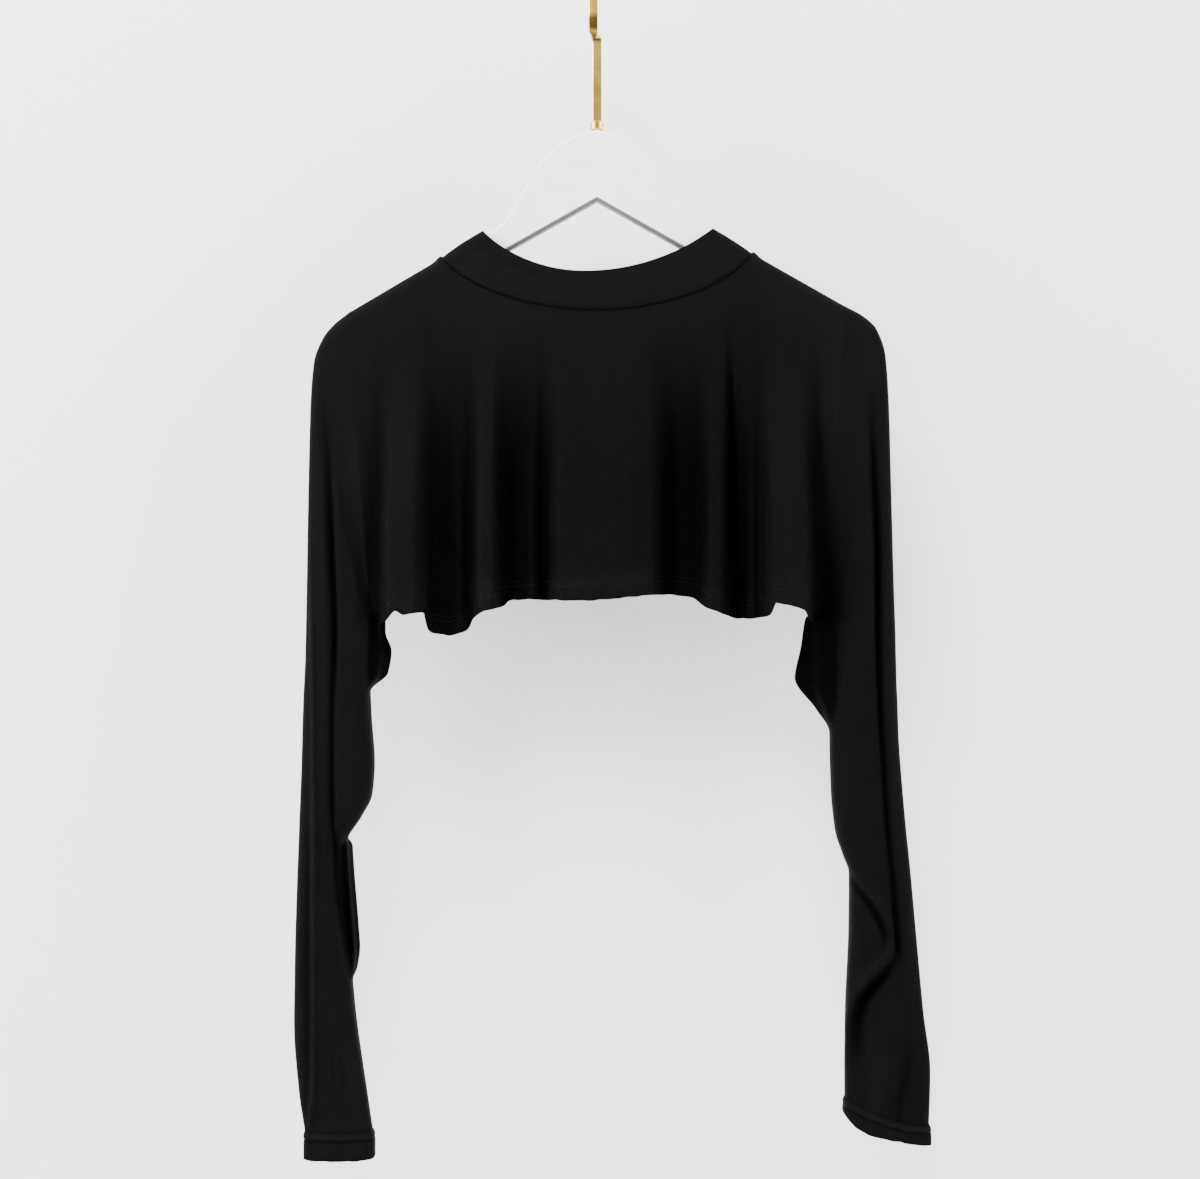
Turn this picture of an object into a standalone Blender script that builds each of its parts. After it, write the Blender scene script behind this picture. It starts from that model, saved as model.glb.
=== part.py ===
"""Cropped jersey top with a stand collar and long sleeves, hung on a wooden hanger.

Axes: +X to the right as seen from the front, +Y to the back, +Z up. The origin is the
highest point inside the hook, where a rail carries the hanger. Design lengths are in
millimetres and are turned into metres when a mesh is made.

Every cloth piece is a surface lofted through sections worked out from the tables below,
given its wall by a Solidify modifier.
"""

import math
from typing import NamedTuple

import bmesh
import bpy
import numpy as np

MM = 0.001
WELD = 0.00001

# ---------------------------------------------------------------- driving sizes, mm
CLOTH_WALL = 1.2
COLLAR_WALL = 1.8
CUFF_WALL = 1.8
SEAM_GAP = 0.3
SEAM_HALF = 0.45
SEAM_FLAT = 1.5

# Neck: half width at the seam, half width at the top edge, and how far each ring sags.
NECK_HALF = 114.0
NECK_SAG = 42.0
NECK_SAG_POWER = 0.6
NECK_ROUND_POWER = 1.6
NECK_STEP_POWER = 1.3
COLLAR_HALF = 84.6
COLLAR_TOP_Z = -202.6
COLLAR_SAG = 32.0
COLLAR_SAG_POWER = 0.75
COLLAR_BULGE = 1.2

# How far the chest and the collar stand off the hanger at the neck and at the shoulder,
# and how far out from the middle they do so.
NECK_DEPTH = 26.0
COLLAR_DEPTH = 24.0
SHOULDER_DEPTH = 8.8
CHEST_SWELL_HALF = 120.0
COLLAR_SWELL_HALF = 89.6
SHOULDER_ROLL = 9.0
NECK_ROLL_SHARE = 0.16

# Armhole: from the shoulder seam down to the underarm.
ARMHOLE_TOP_HALF = 183.0
UNDERARM_HALF = 166.0
UNDERARM_Z = -478.0
ARMHOLE_SWELL = 3.0
UNDERARM_ROUND_SHARE = 0.1
UNDERARM_START_SHARE = 0.88
SIDE_SEAM_HALF = 0.8

# Depth of the cloth at the hem, in the valleys between its folds.
VALLEY_DEPTH = 13.0
FOLD_TOP_Z = -285.0
FOLD_FULL_Z = -435.0
SEAM_EASE = 15.0

# Sleeves: where the rings are level, where the cuff's tilt begins, their oval, and the
# part of the half turn over which the tuck behind comes in.
LEVEL_SHARE = 0.55
CUFF_TILT_SHARE = 0.8
SEAM_EASE_SHARE = 0.16
RING_SQUARENESS = 0.35
RING_EASE = 0.2
TUCK_START_TURN = 0.84
TUCK_EASE_TURN = 0.32
CREASE_HALF = 4.0
CUFF_SPREAD = 1.03
CUFF_SEAM_DROOP = 1.8
CUFF_EDGE_DROOP = 3.6

# Grid counts.
NECK_COLUMNS = 16
SHOULDER_COLUMNS = 11
PANEL_ROWS = (0.0, 0.006, 0.018, 0.04, 0.09, 0.17, 0.26, 0.36, 0.47, 0.58, 0.69, 0.8, 0.9, 1.0)
SLEEVE_ROWS = 27
SLEEVE_ROW_POWER = 1.35
SLEEVE_RING = 28
CUFF_ROWS = 2
COLLAR_ROWS = 4

# Hanger board.
BOARD_THICKNESS = 12.0
BOARD_EDGE = 2.5
BOARD_TOP_Z = -126.5
BOARD_APEX_Z = -179.0
BOARD_UNDERSIDE_SLOPE = 0.563
BOARD_NECK_HALF = 75.0
BOARD_HEEL = 2.0
CROWN_POINTS = 15
EDGE_STEPS = 2
SHARP_ANGLE = 40.0

# Hook and ferrule.
STRIP_WIDTH = 6.8
STRIP_THICKNESS = 2.4
HOOK_RADIUS = 20.0
HOOK_TURN = 82.0
HOOK_KINK_LOW_Z = -61.0
HOOK_KINK_HIGH_Z = -46.0
HOOK_SHANK_FOOT_Z = -125.5
HOOK_TIP_SWEEP = 205.0
HOOK_SHANK_EASE = 8.0
KINK_POINTS = 7
CROOK_POINTS = 17
STRIP_EDGE = 0.4
STRIP_EDGE_ANGLE = 50.0
FERRULE_RADIUS = 4.8
FERRULE_HEIGHT = 6.4
FERRULE_CHAMFER = 0.6
FERRULE_STEPS = 24


class Shoulder(NamedTuple):
    """One shoulder seam: a straight line that falls outwards from the neck point."""

    neck_z: float
    slope: float


class Fold(NamedTuple):
    """One hanging fold of a panel, as a ridge with a flat or round top."""

    centre: float
    half_width: float
    edge: float
    rise: float
    start_z: float
    full_z: float


class HemPoint(NamedTuple):
    """Height of the hem at one place across the body."""

    x: float
    z: float


class SleeveSection(NamedTuple):
    """One level of a sleeve. Outer and inner are distances from the middle of the body.

    The tuck is how much further in the cloth stands behind than in front, and the crease
    is a trough down the front, so far in from the outer side.
    """

    z: float
    outer: float
    inner: float
    tuck: float
    front_depth: float
    back_depth: float
    crease_out: float
    crease_depth: float


class CuffEnd(NamedTuple):
    """Heights of a cuff at its outer and inner side: its seam and its free edge."""

    outer_top: float
    inner_top: float
    outer_bottom: float
    inner_bottom: float


class BoardPoint(NamedTuple):
    """One point on the upper edge of the hanger, from its crown to the end of an arm."""

    half: float
    z: float


class Finish(NamedTuple):
    """Name, colour, roughness and metallic value of a plain material."""

    name: str
    colour: tuple
    roughness: float
    metallic: float


SHOULDERS = {-1: Shoulder(-220.5, 0.59), 1: Shoulder(-219.8, 0.575)}

FRONT_FOLDS = (
    Fold(-142.0, 20.0, 11.0, 21.0, -290.0, -430.0),
    Fold(-105.0, 6.0, 5.0, 3.0, -340.0, -440.0),
    Fold(-81.0, 12.5, 9.0, 18.0, -285.0, -420.0),
    Fold(5.0, 45.0, 16.0, 21.0, -262.0, -400.0),
    Fold(90.0, 10.0, 8.0, 18.0, -285.0, -420.0),
    Fold(118.0, 6.5, 5.0, 6.0, -310.0, -430.0),
    Fold(142.0, 18.0, 11.0, 21.0, -290.0, -430.0),
)

BACK_FOLDS = (
    Fold(-138.0, 22.0, 12.0, 20.0, -285.0, -430.0),
    Fold(-74.0, 17.0, 11.0, 18.0, -300.0, -425.0),
    Fold(-14.0, 24.0, 14.0, 21.0, -265.0, -400.0),
    Fold(48.0, 13.0, 10.0, 17.0, -300.0, -430.0),
    Fold(96.0, 15.0, 10.0, 15.0, -290.0, -420.0),
    Fold(140.0, 19.0, 11.0, 20.0, -290.0, -430.0),
)

FRONT_HEM = (
    HemPoint(-166.0, -478.0),
    HemPoint(-157.0, -482.5),
    HemPoint(-128.0, -482.0),
    HemPoint(-121.0, -495.0),
    HemPoint(-109.0, -500.0),
    HemPoint(-96.0, -496.0),
    HemPoint(-86.0, -481.0),
    HemPoint(-67.0, -474.0),
    HemPoint(0.0, -473.6),
    HemPoint(64.0, -470.0),
    HemPoint(86.0, -481.5),
    HemPoint(103.0, -487.5),
    HemPoint(121.0, -486.0),
    HemPoint(131.0, -476.0),
    HemPoint(152.0, -481.0),
    HemPoint(166.0, -478.0),
)

BACK_HEM = (
    HemPoint(-166.0, -478.0),
    HemPoint(-150.0, -479.0),
    HemPoint(-108.0, -475.0),
    HemPoint(-74.0, -470.0),
    HemPoint(-44.0, -473.0),
    HemPoint(-14.0, -466.0),
    HemPoint(48.0, -468.0),
    HemPoint(96.0, -471.0),
    HemPoint(140.0, -476.0),
    HemPoint(166.0, -478.0),
)

LEFT_SLEEVE = (
    SleeveSection(-261.2, 183.0, 166.5, 0.0, 11.0, 11.0, 14.0, 0.0),
    SleeveSection(-270.0, 194.0, 166.5, 0.0, 11.5, 11.5, 14.0, 0.0),
    SleeveSection(-280.0, 202.0, 166.5, 0.0, 12.0, 12.0, 14.0, 1.0),
    SleeveSection(-298.0, 208.6, 166.5, 0.0, 13.0, 12.5, 14.0, 3.0),
    SleeveSection(-330.0, 211.0, 166.5, 0.0, 14.0, 14.0, 14.5, 5.0),
    SleeveSection(-400.0, 212.6, 166.5, 0.0, 16.5, 16.5, 15.0, 6.0),
    SleeveSection(-482.0, 213.9, 167.0, 0.0, 19.0, 20.0, 16.0, 6.5),
    SleeveSection(-488.0, 214.1, 167.6, 12.0, 19.2, 20.3, 16.2, 6.5),
    SleeveSection(-510.0, 214.6, 168.4, 15.5, 20.0, 21.0, 16.5, 6.5),
    SleeveSection(-526.0, 215.2, 168.8, 12.0, 20.0, 20.5, 17.0, 6.5),
    SleeveSection(-542.0, 216.0, 168.4, 0.0, 20.0, 20.0, 17.5, 6.5),
    SleeveSection(-560.0, 216.6, 167.6, 0.0, 20.0, 19.0, 18.0, 6.0),
    SleeveSection(-594.0, 217.5, 165.2, 0.0, 20.0, 19.0, 19.5, 5.0),
    SleeveSection(-617.0, 218.4, 167.4, 0.0, 19.0, 18.5, 21.0, 4.5),
    SleeveSection(-634.0, 219.1, 175.2, 0.0, 18.0, 18.0, 22.0, 4.0),
    SleeveSection(-649.0, 219.6, 184.8, 0.0, 17.5, 17.5, 15.0, 3.0),
    SleeveSection(-657.0, 219.9, 188.0, 7.0, 17.0, 17.0, 12.5, 3.0),
    SleeveSection(-728.0, 222.3, 184.0, 8.6, 17.0, 17.0, 10.0, 3.0),
    SleeveSection(-747.0, 222.7, 182.2, 4.6, 16.0, 17.0, 10.0, 3.5),
    SleeveSection(-756.0, 222.8, 181.4, 0.0, 16.0, 17.0, 10.0, 3.5),
    SleeveSection(-785.0, 223.3, 178.4, 0.0, 15.0, 16.0, 10.5, 3.5),
    SleeveSection(-836.0, 219.8, 170.9, 0.0, 13.0, 14.0, 10.0, 3.0),
    SleeveSection(-866.0, 215.4, 166.4, 0.0, 11.0, 12.0, 9.0, 1.0),
)

RIGHT_SLEEVE = (
    SleeveSection(-259.5, 183.0, 166.5, 0.0, 11.0, 11.0, 12.0, 0.0),
    SleeveSection(-266.0, 196.0, 166.5, 0.0, 11.5, 11.5, 12.0, 0.0),
    SleeveSection(-275.0, 206.0, 166.5, 0.0, 12.0, 12.0, 12.0, 1.0),
    SleeveSection(-293.0, 212.6, 166.5, 0.0, 13.0, 13.0, 12.0, 3.0),
    SleeveSection(-330.0, 215.0, 166.5, 0.0, 14.0, 14.5, 12.0, 5.0),
    SleeveSection(-400.0, 216.8, 166.5, 0.0, 17.0, 17.5, 12.0, 6.5),
    SleeveSection(-482.0, 219.0, 167.5, 0.0, 20.0, 20.0, 12.5, 7.0),
    SleeveSection(-490.0, 219.3, 171.0, 16.0, 20.2, 20.2, 12.6, 7.0),
    SleeveSection(-530.0, 220.4, 176.4, 28.0, 21.0, 21.0, 13.0, 7.0),
    SleeveSection(-555.0, 221.4, 174.2, 12.5, 21.0, 20.0, 13.5, 6.5),
    SleeveSection(-573.0, 222.0, 172.8, 0.0, 20.0, 20.0, 14.0, 6.0),
    SleeveSection(-614.0, 225.0, 173.8, 0.0, 20.0, 19.0, 14.5, 5.0),
    SleeveSection(-644.0, 227.8, 178.4, 0.0, 19.0, 18.5, 15.0, 4.0),
    SleeveSection(-673.0, 230.8, 187.0, 0.0, 18.0, 18.0, 16.0, 3.0),
    SleeveSection(-718.0, 235.0, 186.8, 0.0, 17.0, 17.0, 18.0, 2.0),
    SleeveSection(-777.0, 240.6, 184.2, 0.0, 15.0, 16.0, 20.0, 1.5),
    SleeveSection(-822.0, 245.8, 183.6, 0.0, 13.5, 14.0, 21.0, 2.5),
    SleeveSection(-862.0, 244.8, 183.9, 0.0, 12.0, 12.0, 22.0, 1.5),
)

BOARD_EDGE_POINTS = (
    BoardPoint(0.0, -126.5),
    BoardPoint(11.1, -128.6),
    BoardPoint(20.7, -132.4),
    BoardPoint(32.6, -140.4),
    BoardPoint(41.0, -149.0),
    BoardPoint(48.1, -160.6),
    BoardPoint(57.7, -176.9),
    BoardPoint(66.0, -190.8),
    BoardPoint(75.0, -199.6),
    BoardPoint(114.0, -223.2),
    BoardPoint(150.0, -244.7),
    BoardPoint(178.0, -261.2),
    BoardPoint(188.0, -268.2),
    BoardPoint(194.0, -274.0),
    BoardPoint(198.5, -281.0),
    BoardPoint(200.5, -289.0),
)

CUFFS = {-1: CuffEnd(-866.0, -866.0, -886.5, -885.5), 1: CuffEnd(-861.0, -841.4, -876.0, -851.5)}

BLACK_JERSEY = Finish("black_jersey", (0.012, 0.012, 0.013), 0.85, 0.0)
WHITE_PAINT = Finish("white_painted_wood", (0.86, 0.86, 0.86), 0.5, 0.0)
BRASS = Finish("polished_brass", (0.86, 0.62, 0.22), 0.22, 1.0)


# ---------------------------------------------------------------- small helpers
def clear_scene():
    """Removes the objects that a new file starts with."""
    for old in list(bpy.data.objects):
        bpy.data.objects.remove(old, do_unlink=True)


def smooth(t):
    """Eased step from 0 to 1."""
    t = np.clip(t, 0.0, 1.0)
    return t * t * (3.0 - 2.0 * t)


def quarter_round(t):
    """Height of a quarter circle: 0 at t = 0, rising steeply, level at 1 for t = 1."""
    t = np.clip(t, 0.0, 1.0)
    return np.sqrt(1.0 - (1.0 - t) ** 2)


def between(x, knots, values):
    """Smooth curve through a table's rows, with no overshoot between two rows."""
    x = np.asarray(x, dtype=float)
    knots = np.asarray(knots, dtype=float)
    values = np.asarray(values, dtype=float)
    steps = np.diff(values) / np.diff(knots)
    slopes = np.zeros_like(values)
    same_way = steps[1:] * steps[:-1] > 0.0
    total = np.where(same_way, steps[1:] + steps[:-1], 1.0)
    slopes[1:-1] = np.where(same_way, 2.0 * steps[1:] * steps[:-1] / total, 0.0)
    slopes[0] = steps[0]
    slopes[-1] = steps[-1]
    x = np.clip(x, knots[0], knots[-1])
    i = np.clip(np.searchsorted(knots, x, side="right") - 1, 0, len(knots) - 2)
    width = knots[i + 1] - knots[i]
    t = (x - knots[i]) / width
    start = (1.0 + 2.0 * t) * (1.0 - t) ** 2 * values[i]
    start_slope = t * (1.0 - t) ** 2 * width * slopes[i]
    end = t * t * (3.0 - 2.0 * t) * values[i + 1]
    end_slope = t * t * (t - 1.0) * width * slopes[i + 1]
    return start + start_slope + end + end_slope


def make_material(finish):
    """A Principled material from a finish, made once and then shared."""
    material = bpy.data.materials.get(finish.name) or bpy.data.materials.new(finish.name)
    material.use_nodes = True
    shader = material.node_tree.nodes["Principled BSDF"]
    shader.inputs["Base Color"].default_value = (*finish.colour, 1.0)
    shader.inputs["Roughness"].default_value = finish.roughness
    shader.inputs["Metallic"].default_value = finish.metallic
    material.diffuse_color = (*finish.colour, 1.0)
    return material


def grid_faces(rows, columns, closed):
    """Quads of a grid whose columns run one way round and may close into a ring."""
    last = columns if closed else columns - 1
    faces = []
    for row in range(rows - 1):
        for column in range(last):
            after = (column + 1) % columns
            low = row * columns
            high = low + columns
            faces.append((low + column, high + column, high + after, low + after))
    return faces


def cloth(name, points, closed, wall, collection):
    """A sheet of cloth from a grid of points in millimetres, thickened both ways."""
    rows, columns = points.shape[:2]
    mesh = bpy.data.meshes.new(name)
    mesh.from_pydata((points.reshape(-1, 3) * MM).tolist(), [], grid_faces(rows, columns, closed))
    mesh.shade_smooth()
    mesh.update()
    sheet = bpy.data.objects.new(name, mesh)
    collection.objects.link(sheet)
    mesh.materials.append(make_material(BLACK_JERSEY))
    thickness = sheet.modifiers.new("wall", "SOLIDIFY")
    thickness.thickness = wall * MM
    thickness.offset = 0.0
    return sheet


# ---------------------------------------------------------------- the body
def shoulder_z(x):
    """Height of the shoulder seam at each distance from the middle."""
    left = SHOULDERS[-1].neck_z - SHOULDERS[-1].slope * (np.abs(x) - NECK_HALF)
    right = SHOULDERS[1].neck_z - SHOULDERS[1].slope * (np.abs(x) - NECK_HALF)
    return np.where(np.asarray(x) < 0.0, left, right)


def chest_depth(x):
    """How far the smooth upper chest stands off the hanger's middle plane."""
    swell = np.clip(1.0 - (x / CHEST_SWELL_HALF) ** 2, 0.0, 1.0)
    return SHOULDER_DEPTH + (NECK_DEPTH - SHOULDER_DEPTH) * swell


def neck_steps():
    """Shares of the way from a neck point to the middle, closer together at the neck point."""
    return (np.arange(NECK_COLUMNS + 1) / NECK_COLUMNS) ** NECK_STEP_POWER


def neck_ring_quarter(step, half, depth_at, side_z, sag, power):
    """A quarter of a neck ring: it wraps over the hanger and then sags to the middle."""
    x = half * (1.0 - step**NECK_ROUND_POWER)
    y = depth_at(x) * quarter_round(step / NECK_ROLL_SHARE)
    z = side_z - sag * (1.0 - (x / half) ** 2) ** power
    return x, y, z


def seam_quarter(step, side):
    """The collar seam from the neck point on one side to the middle."""
    return neck_ring_quarter(
        step, NECK_HALF, chest_depth, SHOULDERS[side].neck_z, NECK_SAG, NECK_SAG_POWER
    )


def collar_top_depth(x):
    """How far the collar's top edge stands off the hanger's middle plane."""
    swell = np.clip(1.0 - (x / COLLAR_SWELL_HALF) ** 2, 0.0, 1.0)
    return SHOULDER_DEPTH + (COLLAR_DEPTH - SHOULDER_DEPTH) * swell


def armhole(t, side):
    """Armhole x and depth from the shoulder seam (t = 0) to the underarm (t = 1)."""
    top_z = float(shoulder_z(side * ARMHOLE_TOP_HALF))
    x = ARMHOLE_TOP_HALF + (UNDERARM_HALF - ARMHOLE_TOP_HALF) * t
    z = top_z + (UNDERARM_Z - top_z) * t
    over_board = quarter_round((top_z - z) / SHOULDER_ROLL)
    round_under = quarter_round((1.0 - t) / UNDERARM_ROUND_SHARE)
    depth = (SHOULDER_DEPTH + ARMHOLE_SWELL * np.sin(math.pi * t)) * over_board * round_under
    return x, depth


def panel_columns():
    """Top x, depth and z of every column of a panel, from left to right."""
    quarters = {}
    for side in (-1, 1):
        out = np.linspace(ARMHOLE_TOP_HALF, NECK_HALF, SHOULDER_COLUMNS + 1)[:-1]
        out = np.insert(out, 1, ARMHOLE_TOP_HALF - SEAM_FLAT)
        x, depth, z = seam_quarter(neck_steps(), side)
        x = side * np.concatenate([out, x])
        depth = np.concatenate([np.zeros_like(out), depth])
        z = np.concatenate([shoulder_z(side * out), z])
        quarters[side] = np.stack([x, depth, z])
    return np.concatenate([quarters[-1], quarters[1][:, -2::-1]], axis=1)


def fold_depth(x, z, folds):
    """Depth that the hanging folds add at each point: the sum of their ridges."""
    total = np.zeros_like(x)
    for fold in folds:
        grow = smooth((fold.start_z - z) / (fold.start_z - fold.full_z))
        across = smooth((fold.half_width + fold.edge / 2.0 - np.abs(x - fold.centre)) / fold.edge)
        total += fold.rise * grow * across
    return total


def panel_points(face, folds, hem):
    """Grid of one body panel: rows from the shoulder to the hem, columns left to right."""
    top_x, top_depth, top_z = panel_columns()
    share = np.asarray(PANEL_ROWS)[:, None]
    hem_x = top_x * UNDERARM_HALF / ARMHOLE_TOP_HALF
    hem_z = between(hem_x, [p.x for p in hem], [p.z for p in hem])
    x = top_x + (hem_x - top_x) * share
    z = top_z + (hem_z - top_z) * share
    rolled = quarter_round((top_z - z) / SHOULDER_ROLL)
    settle = smooth((FOLD_TOP_Z - z) / (FOLD_TOP_Z - FOLD_FULL_Z))
    chest = chest_depth(x) + (VALLEY_DEPTH - chest_depth(x)) * settle
    middle = top_depth + (chest - top_depth) * rolled + fold_depth(x, z, folds)
    side = np.where(x < 0.0, -1, 1)
    seam_x, seam_depth = armhole_at(share, side)
    ease = smooth((seam_x - np.abs(x)) / SEAM_EASE)
    depth = seam_depth + (middle - seam_depth) * ease
    side_seam = SIDE_SEAM_HALF * smooth((share - UNDERARM_START_SHARE) / UNDERARM_ROUND_SHARE)
    depth = np.maximum(depth, SEAM_HALF + side_seam)
    x = pull_in(x, seam_x)
    return np.stack([x, face * depth, z], axis=-1)


def armhole_at(share, side):
    """Armhole x and depth for each row, on the side that each column belongs to."""
    left_x, left_depth = armhole(share, -1)
    right_x, right_depth = armhole(share, 1)
    return np.where(side < 0, left_x, right_x), np.where(side < 0, left_depth, right_depth)


def pull_in(x, seam_x):
    """Keeps the outermost columns half a seam gap short of the armhole."""
    limit = seam_x - SEAM_GAP / 2.0
    return np.clip(x, -limit, limit)


# ---------------------------------------------------------------- sleeves and cuffs
def sleeve_value(sections, name, z):
    """One column of a sleeve's table at any height."""
    heights = [row.z for row in reversed(sections)]
    values = [getattr(row, name) for row in reversed(sections)]
    return between(z, heights, values)


def ring_places():
    """Angles round a sleeve from its outer side over the front, and their share across."""
    turn = np.arange(SLEEVE_RING) / SLEEVE_RING * 2.0 * math.pi
    return turn, (1.0 - np.cos(turn)) / 2.0


def sleeve_ring(sections, outer_z, inner_z, grow, droop):
    """One ring of a sleeve, from its outer height and its inner height.

    The ring is a squared oval. Behind, its inner side stands further in by the tuck of
    the underarm or of the elbow, and a crease runs down its front. Seen from the front
    it is straight where droop is 1, and a larger droop bends it near its inner end.
    """
    turn, across = ring_places()
    z = outer_z + (inner_z - outer_z) * across**droop
    outer = float(sleeve_value(sections, "outer", outer_z))
    inner = float(sleeve_value(sections, "inner", inner_z))
    behind = smooth((turn / math.pi - TUCK_START_TURN) / TUCK_EASE_TURN)
    tuck = sleeve_value(sections, "tuck", z) * behind * smooth(2.0 * across - 1.0)
    x = outer + (inner - outer) * across
    middle_z = (outer_z + inner_z) / 2.0
    front_depth = float(sleeve_value(sections, "front_depth", middle_z))
    back_depth = float(sleeve_value(sections, "back_depth", middle_z))
    round_off = np.abs(np.sin(turn)) ** (RING_SQUARENESS + RING_EASE * grow)
    crease_x = outer - float(sleeve_value(sections, "crease_out", outer_z))
    crease = float(sleeve_value(sections, "crease_depth", outer_z))
    groove = crease * np.exp(-(((x - crease_x) / CREASE_HALF) ** 2))
    front = np.sin(turn) >= 0.0
    depth = np.where(front, front_depth * round_off - groove, -back_depth * round_off)
    return x - tuck, depth, z


def sleeve_points(side, sections, cuff):
    """Grid of a sleeve: rings that start upright at the armhole and turn level below it."""
    turn, across = ring_places()
    _, seam_depth = armhole(across, side)
    seam_depth = np.where(np.sin(turn) >= 0.0, seam_depth, -seam_depth)
    top_z = float(shoulder_z(side * ARMHOLE_TOP_HALF))
    rings = []
    for row in range(SLEEVE_ROWS + 1):
        share = (row / SLEEVE_ROWS) ** SLEEVE_ROW_POWER
        outer_z = top_z + (cuff.outer_top - top_z) * share
        level_z = top_z + (cuff.outer_top - top_z) * max(share, LEVEL_SHARE)
        inner_z = UNDERARM_Z + (level_z - UNDERARM_Z) * min(1.0, share / LEVEL_SHARE)
        tail = float(smooth((share - CUFF_TILT_SHARE) / (1.0 - CUFF_TILT_SHARE)))
        inner_z += (cuff.inner_top - cuff.outer_top) * tail
        grow = float(smooth(share / SEAM_EASE_SHARE))
        droop = 1.0 + (CUFF_SEAM_DROOP - 1.0) * tail
        x, depth, z = sleeve_ring(sections, outer_z, inner_z, grow, droop)
        depth = seam_depth + (depth - seam_depth) * grow
        rings.append(np.stack([side * (x + SEAM_GAP / 2.0), -depth, z], axis=-1))
    return np.stack(rings)


def cuff_points(side, sections, cuff):
    """Grid of a cuff: the sleeve's last ring carried down, a little wider all round."""
    _, across = ring_places()
    x, depth, seam_z = sleeve_ring(sections, cuff.outer_top, cuff.inner_top, 1.0, CUFF_SEAM_DROOP)
    middle = (x.max() + x.min()) / 2.0
    x = middle + (x - middle) * CUFF_SPREAD
    depth = depth * CUFF_SPREAD**2
    edge_z = cuff.outer_bottom + (cuff.inner_bottom - cuff.outer_bottom) * across**CUFF_EDGE_DROOP
    rings = []
    for share in np.linspace(0.0, 1.0, CUFF_ROWS + 1):
        z = seam_z - SEAM_GAP + (edge_z - seam_z) * share
        rings.append(np.stack([side * x, -depth, z], axis=-1))
    return np.stack(rings)


# ---------------------------------------------------------------- the collar
def whole_ring(quarter):
    """A closed neck ring from its quarters: front left to right, then back right to left."""
    left = np.stack(quarter(-1))
    right = np.stack(quarter(1))
    front = np.concatenate([left * [[-1], [-1], [1]], (right * [[1], [-1], [1]])[:, -2::-1]], axis=1)
    behind = front[:, -2:0:-1] * [[1], [-1], [1]]
    return np.concatenate([front, behind], axis=1).T


def collar_points():
    """Grid of the collar: rings from its top edge down to the seam, slightly full between."""
    step = neck_steps()
    seam = whole_ring(lambda side: seam_quarter(step, side))
    top = whole_ring(
        lambda side: neck_ring_quarter(
            step, COLLAR_HALF, collar_top_depth, COLLAR_TOP_Z, COLLAR_SAG, COLLAR_SAG_POWER
        )
    )
    rings = []
    for row in range(COLLAR_ROWS + 1):
        share = row / COLLAR_ROWS
        ring = top + (seam - top) * share
        full = COLLAR_BULGE * math.sin(math.pi * share)
        ring[:, 1] += np.sign(ring[:, 1]) * full * (np.abs(ring[:, 1]) > BOARD_THICKNESS / 2.0)
        rings.append(ring)
    points = np.stack(rings)
    along = points[-2] - points[-1]
    along /= np.linalg.norm(along, axis=-1, keepdims=True)
    points[-1] += along * (SEAM_GAP + CLOTH_WALL / 2.0)
    return points


# ---------------------------------------------------------------- the hanger
def board_outline():
    """Outline of the board, anticlockwise: crown, arms, rounded ends and straight underside."""
    crown = np.linspace(0.0, BOARD_NECK_HALF, CROWN_POINTS)
    arm = [p.half for p in BOARD_EDGE_POINTS if p.half > BOARD_NECK_HALF]
    half = np.concatenate([crown, arm])
    height = between(half, [p.half for p in BOARD_EDGE_POINTS], [p.z for p in BOARD_EDGE_POINTS])
    end = half[-1] - BOARD_HEEL
    half = np.append(half, end)
    height = np.append(height, BOARD_APEX_Z - BOARD_UNDERSIDE_SLOPE * end)
    right = np.stack([half, height], axis=1)
    left = right[::-1] * [-1.0, 1.0]
    return np.concatenate([left[:-1], right, [[0.0, BOARD_APEX_Z]]])


def flat_curve(name, outline, thickness, edge):
    """A flat outline in the XZ plane as a filled curve, extruded and with rounded edges."""
    curve = bpy.data.curves.new(name, "CURVE")
    curve.dimensions = "2D"
    curve.fill_mode = "BOTH"
    curve.extrude = (thickness / 2.0 - edge) * MM
    curve.bevel_depth = edge * MM
    curve.bevel_resolution = EDGE_STEPS
    curve.offset = -edge * MM
    spline = curve.splines.new("POLY")
    spline.points.add(len(outline) - 1)
    for point, (across, height) in zip(spline.points, outline):
        point.co = (across * MM, height * MM, 0.0, 1.0)
    spline.use_cyclic_u = True
    return curve


def as_mesh(name, curve, rotation, collection, finish):
    """Turns a filled curve into a closed mesh object with welded caps."""
    guide = bpy.data.objects.new(name + "_curve", curve)
    guide.rotation_euler = rotation
    collection.objects.link(guide)
    bpy.context.view_layer.update()
    depsgraph = bpy.context.evaluated_depsgraph_get()
    mesh = bpy.data.meshes.new_from_object(guide.evaluated_get(depsgraph))
    mesh.transform(guide.matrix_world)
    bpy.data.objects.remove(guide, do_unlink=True)
    shape = bmesh.new()
    shape.from_mesh(mesh)
    bmesh.ops.remove_doubles(shape, verts=shape.verts, dist=WELD)
    bmesh.ops.recalc_face_normals(shape, faces=shape.faces)
    shape.to_mesh(mesh)
    shape.free()
    mesh.name = name
    mesh.materials.clear()
    mesh.materials.append(make_material(finish))
    mesh.shade_smooth()
    mesh.set_sharp_from_angle(angle=math.radians(SHARP_ANGLE))
    solid = bpy.data.objects.new(name, mesh)
    collection.objects.link(solid)
    return solid


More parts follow.
